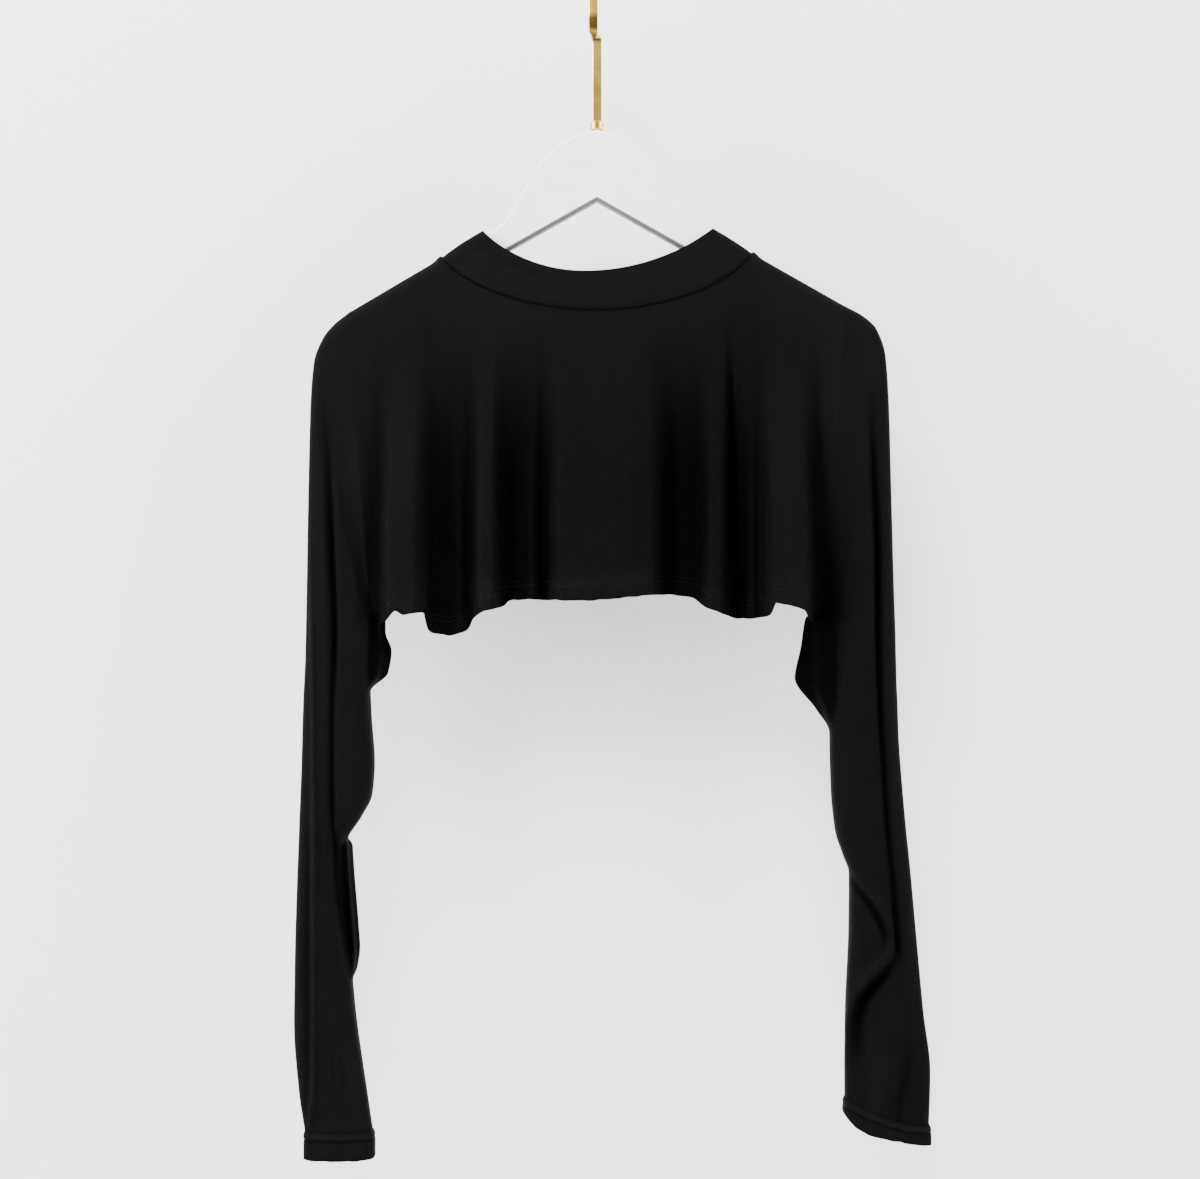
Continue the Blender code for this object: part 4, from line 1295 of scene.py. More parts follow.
@dataclass
class Sleeve:
    """One sleeve with its turned cuff, hanging from its armhole.

    Attributes:
        side: The side of the picture.
        sections: Its levels, from the shoulder to the cuff.
        cuff: Heights of the cuff.
        front_creases: Creases on the front, with x as a distance from the middle.
        back_creases: Creases on the back, in the same way.
        shades: Streaks of painted shade and painted highlight.
        cut: The flat cloth of the sleeve. It is not used.
        cuff_cut: The flat cloth of the cuff. It is not used.
        seed: Shifts the small waves, so that the two sleeves differ.
        painted_light: Painted light on smooth cloth.
        cuff_shift: How far the cuff's edge hangs inwards.
        cuff_tilt: Share of the cuff's slant that is straight; the rest is at its inner end.
        form: The garment's shared sizes.
        around: Columns round the sleeve.
        rows: Rows down the sleeve.
        cuff_rows: Rows down the cuff.
        row_power: How much closer the rows are at the armhole.
        level_share: Share of the rows after which the rings are level.
        tilt_share: Share of the rows after which they tilt to the cuff.
        ease_share: Share of the rows that ease from the armhole's form to the sleeve's.
        squareness: Power of the oval at the armhole; the lower, the squarer.
        squareness_ease: What it gains further down.
        tuck_start: Where the tuck starts, in half turns from the outer side.
        tuck_turn: Over what part of a half turn it grows.
        behind_turn: Over what part its painted shade then fades, where it faces the back.
        face_edge: Sine of the turn at which a face has its creases in full.
        seam_droop: Power that bends the cuff's seam.
        edge_droop: Power that bends the cuff's edge.
        cuff_wall: Thickness of the turned cuff.
        cuff_spread: How much wider the cuff is than the sleeve.
        cuff_ease: Height over which it gets wider.
        cuff_ridge: Height of the ridge at its seam.
        cuff_wave: Height of the small waves along its edge.
        ripple: Depth of the small waves round the sleeve.
        pucker: Height of the puckers at the seam.
        pucker_share: Share of the sleeve's length over which they fade.
        full_shade_crease: Depth of a crease that is painted in full shade.
        tuck_shade_depth: Depth of a tuck that is painted in full shade.
        tuck_shade: How much of the painted light a tuck's painted shade takes.
    """

    side: Side
    sections: tuple[SleeveSection, ...]
    cuff: CuffEnd
    front_creases: tuple[Crease, ...]
    back_creases: tuple[Crease, ...]
    shades: tuple[Crease, ...]
    cut: SheetCut
    cuff_cut: SheetCut
    seed: float
    painted_light: float = 1.0
    cuff_shift: float = 0.0
    cuff_tilt: float = 0.0
    form: Form = field(default_factory=Form)
    around: int = 128
    rows: int = 250
    cuff_rows: int = 30
    row_power: float = 1.25
    level_share: float = 0.55
    tilt_share: float = 0.8
    ease_share: float = 0.1
    squareness: float = 0.35
    squareness_ease: float = 0.2
    tuck_start: float = 0.84
    tuck_turn: float = 0.32
    behind_turn: float = 0.12
    face_edge: float = 0.3
    seam_droop: float = 1.8
    edge_droop: float = 8.0
    cuff_wall: float = 1.5
    cuff_spread: float = 1.03
    cuff_ease: float = 6.0
    cuff_ridge: float = 0.7
    cuff_wave: float = 0.35
    ripple: float = 0.3
    pucker: float = 0.35
    pucker_share: float = 9.0 / 640.0
    full_shade_crease: float = 9.0
    tuck_shade_depth: float = 2.5
    tuck_shade: float = 1.2

    @property
    def name(self) -> str:
        """The side as a word, which starts the names of the pieces."""
        return self.side.name.lower()

    def value(self, column: str, z: Array) -> Array:
        """One column of the sleeve's table at any height."""
        heights = [row.z for row in reversed(self.sections)]
        return between(z, heights, [getattr(row, column) for row in reversed(self.sections)])

    def places(self) -> tuple[Array, Array]:
        """Angles round the sleeve from its outer side over the front, and the share across."""
        turn = np.arange(self.around + 1) / self.around * 2.0 * math.pi
        return turn, (1.0 - np.cos(turn)) / 2.0

    def ring(
        self, outer_z: Array, inner_z: Array, grow: Array, droop: Array
    ) -> tuple[Array, Array, Array, Array]:
        """Rings of the sleeve, each a squared oval between its outer and its inner side.

        x is outer + (inner - outer) * across - tuck, and the depth is the front's or the
        back's times |sin turn| to a power below 1.

        Args:
            outer_z: Height of each ring at its outer side.
            inner_z: Height of each ring at its inner side.
            grow: Share of the sleeve's own oval, from 0 at the armhole to 1.
            droop: Power that bends a ring near its inner end; 1 keeps it straight.

        Returns:
            Distance out, depth towards the front and height, in millimetres, and the painted light.
        """
        turn, across = self.places()
        z = outer_z + (inner_z - outer_z) * across**droop
        outer = self.value("outer", outer_z)
        inner = self.value("inner", inner_z)
        behind = smooth((turn / math.pi - self.tuck_start) / self.tuck_turn)
        tuck = self.value("tuck", z) * behind * smooth(2.0 * across - 1.0)
        x = outer + (inner - outer) * across
        middle_z = (outer_z + inner_z) / 2.0
        sine = np.sin(turn)
        round_off = np.abs(sine) ** (self.squareness + self.squareness_ease * grow)
        front = self.value("front_depth", middle_z) * round_off
        back = self.value("back_depth", middle_z) * round_off
        front_share = smooth(sine / self.face_edge)
        back_share = smooth(-sine / self.face_edge)
        ripple = self.ripple * uneven(x, 19.0, self.seed) * (front_share + back_share)
        front_rise = crease_total(self.front_creases, x, z)
        back_rise = crease_total(self.back_creases, x, z)
        # Painted light: sunk creases painted in shade, raised ones painted lighter.
        painted_light = self.painted_light + (front_rise * front_share + back_rise * back_share) / self.full_shade_crease
        # Painted shade in the tuck under the arm, on the part that faces the front.
        past_tuck = turn / math.pi - self.tuck_start - self.tuck_turn
        towards_front = 1.0 - smooth(past_tuck / self.behind_turn)
        painted_light = painted_light - self.tuck_shade * smooth(tuck / self.tuck_shade_depth) * towards_front
        front = front + (front_rise + ripple) * front_share
        back = back + (back_rise + ripple) * back_share
        return x - tuck, np.where(sine >= 0.0, front, -back), z, painted_light

    def surface(self) -> tuple[Array, Array]:
        """Grid of the sleeve: rings that start upright at the armhole and turn level below.

        Returns:
            The points, rows by columns by 3, in millimetres, and the painted light of each.
        """
        form = self.form
        turn, across = self.places()
        _, seam_depth = form.armhole(across, self.side)
        seam_depth = np.where(np.sin(turn) >= 0.0, seam_depth, -seam_depth)
        top_z = float(form.shoulder_z(self.side * form.armhole_top_half))
        share = (np.linspace(0.0, 1.0, self.rows + 1) ** self.row_power)[:, None]
        outer_z = top_z + (self.cuff.outer_top - top_z) * share
        level_z = top_z + (self.cuff.outer_top - top_z) * np.maximum(share, self.level_share)
        turned = np.minimum(1.0, share / self.level_share)
        inner_z = form.underarm_z + (level_z - form.underarm_z) * turned
        tail = smooth((share - self.tilt_share) / (1.0 - self.tilt_share))
        inner_z = inner_z + (self.cuff.inner_top - self.cuff.outer_top) * tail
        grow = smooth(share / self.ease_share)
        x, depth, z, painted_light = self.ring(outer_z, inner_z, grow, 1.0 + (self.seam_droop - 1.0) * tail)
        # Streaks of painted shade and painted highlight.
        painted_light = np.maximum(painted_light, 0.0) * np.clip(1.0 + crease_total(self.shades, x, z), 0.0, 2.0)
        depth = seam_depth + (depth - seam_depth) * grow
        pull = self.pucker * uneven(x + 0.4 * depth, 7.0, self.seed)
        pull = pull * hump((share - 1.0) / self.pucker_share)
        depth = depth + np.sign(depth) * pull
        return np.stack([self.side * x, -depth, z], axis=-1), painted_light

    def cuff_surface(self) -> tuple[Array, Array]:
        """Grid of the cuff: the last ring carried down, a little wider, with a stitched ridge.

        The ridge is a step at the seam and a bell below it, and a groove follows. The
        numbers in it are millimetres below the seam and half widths.

        Returns:
            The points, rows by columns by 3, in millimetres, and the painted light of each.
        """
        _, across = self.places()
        x, depth, seam_z, _ = self.ring(
            np.array([[self.cuff.outer_top]]), np.array([[self.cuff.inner_top]]), 1.0, self.seam_droop
        )
        middle = (x.max() + x.min()) / 2.0
        drop = self.cuff.inner_bottom - self.cuff.outer_bottom
        slant = self.cuff_tilt * across + (1.0 - self.cuff_tilt) * across**self.edge_droop
        edge_z = self.cuff.outer_bottom + drop * slant
        share = np.linspace(0.0, 1.0, self.cuff_rows + 1)[:, None]
        z = seam_z + (edge_z - seam_z) * share
        along = seam_z - z
        bell = 0.8 * hump((along - 2.6) / 1.3)
        groove = 0.9 * hump((along - 5.2) / 1.1)
        ridge = self.cuff_ridge * (smooth(along / 0.8) + bell - groove)
        waves = self.pucker * uneven(x + 0.3 * depth, 8.0, self.seed + 2.0)
        relief = ridge + waves * hump((along - 3.0) / 5.0)
        grown = smooth(along / self.cuff_ease)
        spread = 1.0 + (self.cuff_spread - 1.0) * grown + relief / 60.0
        x = middle + (x - middle) * spread - self.cuff_shift * grown
        depth = depth * spread**2 + np.sign(depth) * relief
        z = z + self.cuff_wave * uneven(x + depth, 15.0, self.seed) * smooth(share)
        # A painted highlight on the ridge below the seam, painted shade in the groove.
        painted_light = 1.0 + 0.5 * hump(along - 2.4) - 0.5 * hump((along - 5.2) / 1.2)
        return np.stack([self.side * x, -depth, z], axis=-1), painted_light

    def build(self, jersey: bpy.types.Material) -> None:
        """Makes the sleeve and its cuff.

        Args:
            jersey: Material of the cloth.
        """
        way = slice(None, None, -int(self.side))
        points, painted_light = (grid[:, way] for grid in self.surface())
        piece = grid_object(self.name + "_sleeve_cloth", points, painted_light, True, jersey)
        thicken(piece, self.form.cloth_wall)
        dress(piece, self.name + "_sleeve")
        band, band_light = (grid[:, way] for grid in self.cuff_surface())
        cuff = grid_object(self.name + "_cuff_cloth", band, band_light, True, jersey)
        thicken(cuff, self.cuff_wall)
        dress(cuff, self.name + "_cuff")
        piece.name
        LOG.info("%s: area %.4f m2", piece.name, surface_area(points))
        LOG.info("%s: area %.5f m2", cuff.name, surface_area(band))


# ---------------------------------------------------------------- the collar
class CollarTip(NamedTuple):
    """Where the collar's top edge wraps over the hanger, and the power of its sag."""

    half: float
    z: float
    power: float


@dataclass
class Collar:
    """Stand collar: one band of jersey folded along its top edge and sewn on doubled.

    Attributes:
        form: The garment's shared sizes.
        tips: Where the top edge wraps over the hanger on each side.
        middle_x: Place of the top edge's lowest point.
        middle_z: Its height.
        waist: How far the band draws in above the neck points.
        swell_half: Half the width over which the top edge swells.
        top_depth: Stand-off of the top edge in the middle.
        bulge: How far the band bulges half-way up.
        board_gap: Stand-off up to which it doesn't, over the hanger.
        layer: How far each layer stands off the band's middle.
        wall: Thickness of a layer.
        steps: Columns along a quarter of the neck.
        rows: Rows up a layer.
        fold_rows: Rows over the fold.
        roll: Height of the small waves along the band.
        roll_length: Their length, in columns.
        seam_pull: How far the outer layer is pulled in at the seam.
        seam_pull_share: Share of the band's height over which it is.
        painted_light: Its painted light.
        seam_light_left: What is left of it at the seam.
        seam_share: Share of the height over which the painted light comes back.
        roll_shade: How much darker the band is painted where it rolls on the left, as painted shade.
        roll_share: Share of the height where that is strongest.
        roll_half: Half the height over which it fades, as a share.
        roll_side: Distance out at which it is there in full.
        flat: Length and doubled height of the cut band, in metres. It is not used.
    """

    form: Form = field(default_factory=Form)
    tips: dict = field(
        default_factory=lambda: {
            Side.LEFT: CollarTip(84.6, -202.0, 0.84),
            Side.RIGHT: CollarTip(85.8, -200.4, 0.9),
        }
    )
    middle_x: float = -8.0
    middle_z: float = -234.7
    waist: float = 1.6
    swell_half: float = 89.6
    top_depth: float = 24.0
    bulge: float = 1.2
    board_gap: float = 6.0
    layer: float = 0.55
    wall: float = 0.8
    steps: int = 90
    rows: int = 22
    fold_rows: int = 6
    roll: float = 0.4
    roll_length: float = 31.0
    seam_pull: float = 0.5
    seam_pull_share: float = 0.08
    painted_light: float = 1.05
    seam_light_left: float = 0.1
    seam_share: float = 0.06
    roll_shade: float = 0.3
    roll_share: float = 0.22
    roll_half: float = 0.16
    roll_side: float = 60.0
    flat: tuple[float, float] = (0.48, 0.064)

    def whole_ring(self, quarter: dict[Side, Array]) -> Array:
        """A closed neck ring from its quarters.

        Args:
            quarter: For each side, its distance out, stand-off and height.

        Returns:
            Points along the front from left to right, and back along the back.
        """
        left = quarter[Side.LEFT] * [[-1], [-1], [1]]
        right = quarter[Side.RIGHT] * [[1], [-1], [1]]
        front = np.concatenate([left, right[:, -2::-1]], axis=1)
        behind = front[:, -2::-1] * [[1], [-1], [1]]
        return np.concatenate([front, behind], axis=1).T

    def top_quarter(self, step: Array, side: Side) -> Array:
        """The top edge on one side, in the way of the collar seam, with its own sizes."""
        form = self.form
        half = self.tips[side].half
        x = half * (1.0 - step**form.neck_round_power)
        swell = np.clip(1.0 - (x / self.swell_half) ** 2, 0.0, 1.0)
        depth = form.shoulder_depth + (self.top_depth - form.shoulder_depth) * swell
        beyond = side * x > self.middle_x
        left, right = self.tips[Side.LEFT], self.tips[Side.RIGHT]
        off = np.where(beyond, side * x - self.middle_x, self.middle_x - side * x)
        off = off / np.where(beyond, right.half - self.middle_x, left.half + self.middle_x)
        power = np.where(beyond, right.power, left.power)
        tip_z = np.where(beyond, right.z, left.z)
        fall = np.clip(1.0 - off**2, 0.0, 1.0) ** power
        y = depth * quarter_round(step / form.neck_roll_share)
        return np.stack([x, y, tip_z + (self.middle_z - tip_z) * fall])

    def surface(self) -> tuple[Array, Array]:
        """Grid of the band: up the outside, over the fold and down the inside.

        A middle surface runs straight from the top edge to the seam, with a slight bulge.
        The two layers stand off it by half the band's thickness, and half a circle joins
        them at the top.

        Returns:
            The points, rows by columns by 3, in millimetres, and the painted light of each.
        """
        step = self.form.neck_steps(self.steps)
        seam = self.whole_ring({s: np.stack(self.form.seam_quarter(step, s)) for s in Side})
        top = self.whole_ring({s: self.top_quarter(step, s) for s in Side})
        share = np.linspace(1.0, 0.0, self.rows + 1)
        turn = np.linspace(0.0, math.pi, self.fold_rows + 1)[1:-1]
        shares = np.concatenate([share, np.zeros_like(turn), share[::-1]])
        offset = np.concatenate([np.ones_like(share), np.cos(turn), -np.ones_like(share)])
        lift = np.concatenate([np.zeros_like(share), np.sin(turn), np.zeros_like(share)])
        shares, offset, lift = (a[:, None, None] for a in (shares, offset, lift))
        middle = top + (seam - top) * shares
        down = seam - top
        down = down / np.linalg.norm(down, axis=-1, keepdims=True)
        ahead = np.roll(top[:-1], -1, axis=0) - np.roll(top[:-1], 1, axis=0)
        ahead = np.concatenate([ahead, ahead[:1]])
        out = np.cross(down, ahead)
        out = out / np.linalg.norm(out, axis=-1, keepdims=True)
        bow = np.sin(math.pi * shares)
        full = self.bulge * bow * (np.abs(middle[..., 1:2]) > self.board_gap)
        waves = self.roll * uneven(np.arange(len(top))[:, None], self.roll_length, 0.4) * bow
        pulled = self.seam_pull * hump((1.0 - shares) / self.seam_pull_share)
        outward = out * (offset * self.layer + full + waves - pulled * (offset > 0.0))
        at_side = hump(middle[..., 1:2] / self.board_gap) * self.waist * bow
        inward = [-np.sign(middle[..., :1]) * at_side, np.zeros_like(at_side), -at_side]
        # Painted light: darker at the seam, painted shade where the band rolls on the left.
        above_seam = smooth((1.0 - shares[..., 0]) / self.seam_share)
        rolled = hump((shares[..., 0] - self.roll_share) / self.roll_half)
        rolled = rolled * smooth(-middle[..., 0] / self.roll_side)
        painted_light = self.painted_light - self.roll_shade * rolled
        painted_light = painted_light * (self.seam_light_left + (1.0 - self.seam_light_left) * above_seam)
        inward = np.concatenate(inward, axis=-1)
        return middle + outward + inward - down * lift * self.layer, painted_light

    def build(self, jersey: bpy.types.Material) -> None:
        """Makes the collar.

        Args:
            jersey: Material of the cloth.
        """
        points, painted_light = self.surface()
        piece = grid_object("collar_cloth", points, painted_light, True, jersey)
        thicken(piece, self.wall)
        dress(piece, "collar")
        LOG.info("%s: area %.4f m2", piece.name, surface_area(points))


# ---------------------------------------------------------------- the hanger
@dataclass
class Hanger:
    """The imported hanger's own solids, with their paint and polish."""

    paint: PaintedWood = PaintedWood()
    brass: Brass = Brass()

    def build(self) -> None:
        """Puts the finishes into the material slots of the board, the hook and the nut."""
        painted = self.paint.material()
        polished = self.brass.material()
        finishes = {"hanger_board": painted, "hanger_hook": polished, "hanger_ferrule": polished}
        for node, material in finishes.items():
            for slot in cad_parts[node].material_slots:
                slot.material = material
            LOG.info("%s: %s", node, material.name)


# ---------------------------------------------------------------- camera, light, stage
class Lamp(NamedTuple):
    """A square light: its place and its side in millimetres, and its power in watts."""

    name: str
    place: tuple[float, float, float]
    side: float
    watts: float


@dataclass
class Studio:
    """A pale wall and floor, soft light from the front and above, and a level camera.

    Attributes:
        camera_x: The camera's place across, in millimetres.
        camera_y: Its distance, towards the front.
        camera_z: Its height.
        field_width: Width of the picture at the hanger, in millimetres.
        sensor: Width of the camera's sensor, in millimetres.
        wall_y: Distance of the wall behind the hanger.
        floor_z: Height of the floor.
        reach: How far the wall and the floor run, in millimetres.
        wall_colour: Colour of the wall and the floor.
        aim: The point that the lamps face.
        lamps: The lamps.
        sky: Strength of the even light from all around.
    """

    camera_x: float = 2.22
    camera_y: float = -1400.0
    camera_z: float = -465.8
    field_width: float = 888.0
    sensor: float = 36.0
    wall_y: float = 92.0
    floor_z: float = -1500.0
    reach: float = 4000.0
    wall_colour: tuple = (0.93, 0.93, 0.93, 1.0)
    aim: tuple[float, float, float] = (0.0, 0.0, -450.0)
    lamps: tuple[Lamp, ...] = (
        Lamp("key", (-350.0, -1350.0, 1500.0), 1200.0, 130.0),
        Lamp("left", (-1900.0, -900.0, 100.0), 1300.0, 88.0),
        Lamp("right", (1900.0, -900.0, 100.0), 1300.0, 60.0),
    )
    sky: float = 0.92

    def plane(self, name: str, corner: Array, across: Array, up: Array) -> None:
        """One flat sheet of the stage, in its own pale finish.

        Args:
            name: Its name.
            corner: One corner, in millimetres.
            across: The way from there to the next corner.
            up: The way from there to the corner on the other side.
        """
        corners = np.array([corner, corner + across, corner + across + up, corner + up])
        mesh = bpy.data.meshes.new(name)
        mesh.from_pydata((corners * MM).tolist(), [], [(0, 1, 2, 3)])
        material = Plaster("pale_" + name, self.wall_colour).material()
        mesh.materials.append(material)
        sheet = bpy.data.objects.new(name, mesh)
        bpy.context.scene.collection.objects.link(sheet)

    def light(self, lamp: Lamp) -> None:
        """One soft square light, turned to the point that the lamps face."""
        source = bpy.data.lights.new(lamp.name, "AREA")
        source.size = lamp.side * MM
        source.energy = lamp.watts
        stand = bpy.data.objects.new(lamp.name, source)
        stand.location = [c * MM for c in lamp.place]
        way = np.subtract(self.aim, lamp.place)
        pitch = math.atan2(math.hypot(way[0], way[1]), -way[2])
        heading = math.atan2(way[1], way[0]) - math.pi / 2.0
        stand.rotation_euler = (pitch, 0.0, heading)
        bpy.context.scene.collection.objects.link(stand)

    def camera(self) -> None:
        """The camera, level, in front of the garment."""
        lens = bpy.data.cameras.new("camera")
        lens.sensor_width = self.sensor
        lens.lens = self.sensor * -self.camera_y / self.field_width
        camera = bpy.data.objects.new("camera", lens)
        camera.location = (self.camera_x * MM, self.camera_y * MM, self.camera_z * MM)
        camera.rotation_euler = (math.pi / 2.0, 0.0, 0.0)
        bpy.context.scene.collection.objects.link(camera)
        bpy.context.scene.camera = camera

    def build(self) -> None:
        """Makes the camera, the wall and the floor, the lamps and the even light."""
        self.camera()
        reach, low = self.reach, self.floor_z
        across = np.array([2.0 * reach, 0.0, 0.0])
        up = np.array([0.0, 0.0, reach - low])
        self.plane("wall", np.array([-reach, self.wall_y, low]), across, up)
        inwards = np.array([0.0, 2.0 * reach, 0.0])
        self.plane("floor", np.array([-reach, -reach, low]), across, inwards)
        for lamp in self.lamps:
            self.light(lamp)
        world = bpy.data.worlds.new("soft_sky")
        world.use_nodes = True
        background = world.node_tree.nodes["Background"]
        background.inputs["Color"].default_value = WHITE
        background.inputs["Strength"].default_value = self.sky
        bpy.context.scene.world = world


# ---------------------------------------------------------------- this garment's tables
# All places are in millimetres. On the sleeves, x is the distance out from the middle.
FRONT_FOLDS = (
    Fold(-141.0, 15.5, 16.0, 21.0, -290.0, -430.0, 0.95),
    Fold(-100.5, 4.0, 7.0, 3.0, -340.0, -440.0, 0.34),
    Fold(-80.5, 8.0, 10.0, 18.0, -285.0, -420.0, 0.86),
    Fold(-47.5, 3.0, 6.0, 2.5, -340.0, -440.0, 0.4),
    Fold(5.5, 38.5, 14.0, 21.0, -262.0, -400.0, 0.74),
    Fold(86.0, 7.5, 11.0, 16.0, -285.0, -420.0, 0.62),
    Fold(114.0, 4.0, 8.0, 6.0, -310.0, -430.0, 0.36),
    Fold(139.5, 17.0, 14.0, 21.0, -290.0, -430.0, 0.84),
)

BACK_FOLDS = (
    Fold(-138.0, 18.0, 16.0, 20.0, -285.0, -430.0, 0.9),
    Fold(-74.0, 12.0, 15.0, 18.0, -300.0, -425.0, 0.8),
    Fold(-14.0, 20.0, 17.0, 21.0, -265.0, -400.0, 0.85),
    Fold(48.0, 9.0, 13.0, 17.0, -300.0, -430.0, 0.7),
    Fold(96.0, 10.0, 14.0, 15.0, -290.0, -420.0, 0.75),
    Fold(140.0, 14.0, 15.0, 20.0, -290.0, -430.0, 0.85),
)

FRONT_HEM = (
    HemPoint(-166.0, -486.0),
    HemPoint(-160.5, -490.3),
    HemPoint(-154.3, -489.1),
    HemPoint(-149.4, -484.6),
    HemPoint(-145.8, -481.6),
    HemPoint(-139.6, -484.0),
    HemPoint(-135.0, -483.6),
    HemPoint(-130.6, -482.7),
    HemPoint(-126.2, -482.2),
    HemPoint(-124.8, -486.4),
    HemPoint(-123.8, -494.3),
    HemPoint(-118.3, -498.4),
    HemPoint(-108.8, -499.4),
    HemPoint(-99.2, -497.4),
    HemPoint(-93.7, -494.0),
    HemPoint(-91.0, -487.2),
    HemPoint(-85.0, -483.2),
    HemPoint(-77.4, -480.4),
    HemPoint(-67.0, -477.0),
    HemPoint(-65.4, -474.6),
    HemPoint(-60.6, -473.6),
    HemPoint(-49.0, -473.1),
    HemPoint(-22.0, -473.8),
    HemPoint(-5.0, -473.8),
    HemPoint(16.7, -472.0),
    HemPoint(34.0, -470.4),
    HemPoint(47.7, -469.5),
    HemPoint(60.8, -470.5),
    HemPoint(69.3, -471.7),
    HemPoint(77.6, -477.3),
    HemPoint(86.2, -481.7),
    HemPoint(95.7, -484.8),
    HemPoint(104.8, -487.2),
    HemPoint(113.3, -486.9),
    HemPoint(121.8, -486.0),
    HemPoint(126.0, -483.8),
    HemPoint(127.9, -478.5),
    HemPoint(129.6, -475.3),
    HemPoint(138.0, -477.3),
    HemPoint(146.8, -479.2),
    HemPoint(150.5, -480.9),
    HemPoint(152.3, -484.0),
    HemPoint(155.0, -489.0),
    HemPoint(160.0, -490.5),
    HemPoint(166.0, -486.0),
)

BACK_HEM = (
    HemPoint(-166.0, -485.0),
    HemPoint(-150.0, -480.0),
    HemPoint(-108.0, -475.0),
    HemPoint(-74.0, -470.0),
    HemPoint(-44.0, -473.0),
    HemPoint(-14.0, -466.0),
    HemPoint(48.0, -468.0),
    HemPoint(96.0, -471.0),
    HemPoint(140.0, -476.0),
    HemPoint(166.0, -486.0),
)

FRONT_CREASES = (
    Crease(-2.5, (
        Spot(-62.0, -345.0, 4.0, 0.0),
        Spot(-63.5, -410.0, 3.2, 0.8),
        Spot(-64.0, -474.0, 3.0, 1.0),
    )),
    Crease(-2.5, (
        Spot(-38.0, -330.0, 5.0, 0.0),
        Spot(-38.5, -400.0, 4.0, 0.8),
        Spot(-39.0, -472.0, 3.6, 1.0),
    )),
    Crease(-3.5, (
        Spot(51.0, -320.0, 5.0, 0.0),
        Spot(52.5, -390.0, 4.0, 0.9),
        Spot(53.5, -470.0, 4.0, 1.0),
    )),
    Crease(-7.0, (
        Spot(96.0, -270.0, 3.0, 0.0),
        Spot(97.0, -310.0, 3.0, 0.5),
        Spot(98.5, -380.0, 3.2, 1.0),
        Spot(99.5, -430.0, 3.6, 1.0),
        Spot(103.0, -486.0, 4.2, 1.0),
    )),
)

BACK_CREASES = (
    Crease(-4.0, (
        Spot(-104.0, -330.0, 4.0, 0.0),
        Spot(-105.0, -410.0, 3.5, 0.9),
        Spot(-106.0, -476.0, 3.2, 1.0),
    )),
    Crease(-3.5, (
        Spot(-46.0, -320.0, 5.0, 0.0),
        Spot(-47.0, -400.0, 4.0, 0.8),
        Spot(-46.0, -474.0, 4.0, 1.0),
    )),
    Crease(-4.5, (
        Spot(22.0, -300.0, 4.0, 0.0),
        Spot(23.0, -390.0, 3.6, 0.9),
        Spot(24.0, -470.0, 3.4, 1.0),
    )),
    Crease(-3.8, (
        Spot(72.0, -325.0, 4.0, 0.0),
        Spot(71.0, -410.0, 3.4, 0.9),
        Spot(72.0, -472.0, 3.4, 1.0),
    )),
    Crease(-4.2, (
        Spot(118.0, -310.0, 3.6, 0.0),
        Spot(118.5, -400.0, 3.2, 0.8),
        Spot(118.0, -474.0, 3.2, 1.0),
    )),
)

LEFT_SECTIONS = (
    SleeveSection(-261.2, 183.0, 166.0, 0.0, 11.0, 11.0),
    SleeveSection(-270.0, 194.0, 166.0, 0.0, 11.5, 11.5),
    SleeveSection(-280.0, 202.0, 166.0, 0.0, 12.0, 12.0),
    SleeveSection(-298.0, 208.6, 166.0, 0.0, 13.0, 12.5),
    SleeveSection(-330.0, 211.0, 166.0, 0.0, 14.0, 14.0),
    SleeveSection(-400.0, 212.6, 166.0, 0.0, 16.5, 16.5),
    SleeveSection(-480.0, 213.9, 167.0, 0.0, 19.0, 20.0),
    SleeveSection(-486.5, 214.1, 167.6, 12.0, 19.2, 20.3),
    SleeveSection(-498.0, 214.3, 168.0, 12.6, 19.6, 20.6),
    SleeveSection(-512.0, 214.6, 168.4, 17.6, 20.0, 21.0),
    SleeveSection(-528.0, 215.2, 168.8, 15.0, 20.0, 20.5),
    SleeveSection(-542.0, 216.0, 168.4, 0.0, 20.0, 20.0),
    SleeveSection(-560.0, 216.6, 167.6, 0.0, 20.0, 19.0),
    SleeveSection(-594.0, 217.5, 165.2, 0.0, 20.0, 19.0),
    SleeveSection(-617.0, 218.4, 166.8, 0.0, 19.0, 18.5),
    SleeveSection(-634.0, 219.1, 174.8, 0.0, 18.0, 18.0),
    SleeveSection(-649.0, 219.6, 184.8, 0.0, 17.5, 17.5),
    SleeveSection(-656.0, 219.9, 188.0, 7.2, 17.0, 17.0),
    SleeveSection(-728.0, 222.3, 184.0, 9.0, 17.0, 17.0),
    SleeveSection(-747.0, 222.7, 182.2, 5.0, 16.0, 17.0),
    SleeveSection(-756.0, 222.8, 181.4, 0.0, 16.0, 17.0),
    SleeveSection(-785.0, 223.3, 178.4, 0.0, 15.0, 16.0),
    SleeveSection(-836.0, 219.8, 170.9, 0.0, 13.0, 14.0),
    SleeveSection(-866.0, 215.4, 166.4, 0.0, 11.0, 12.0),
)

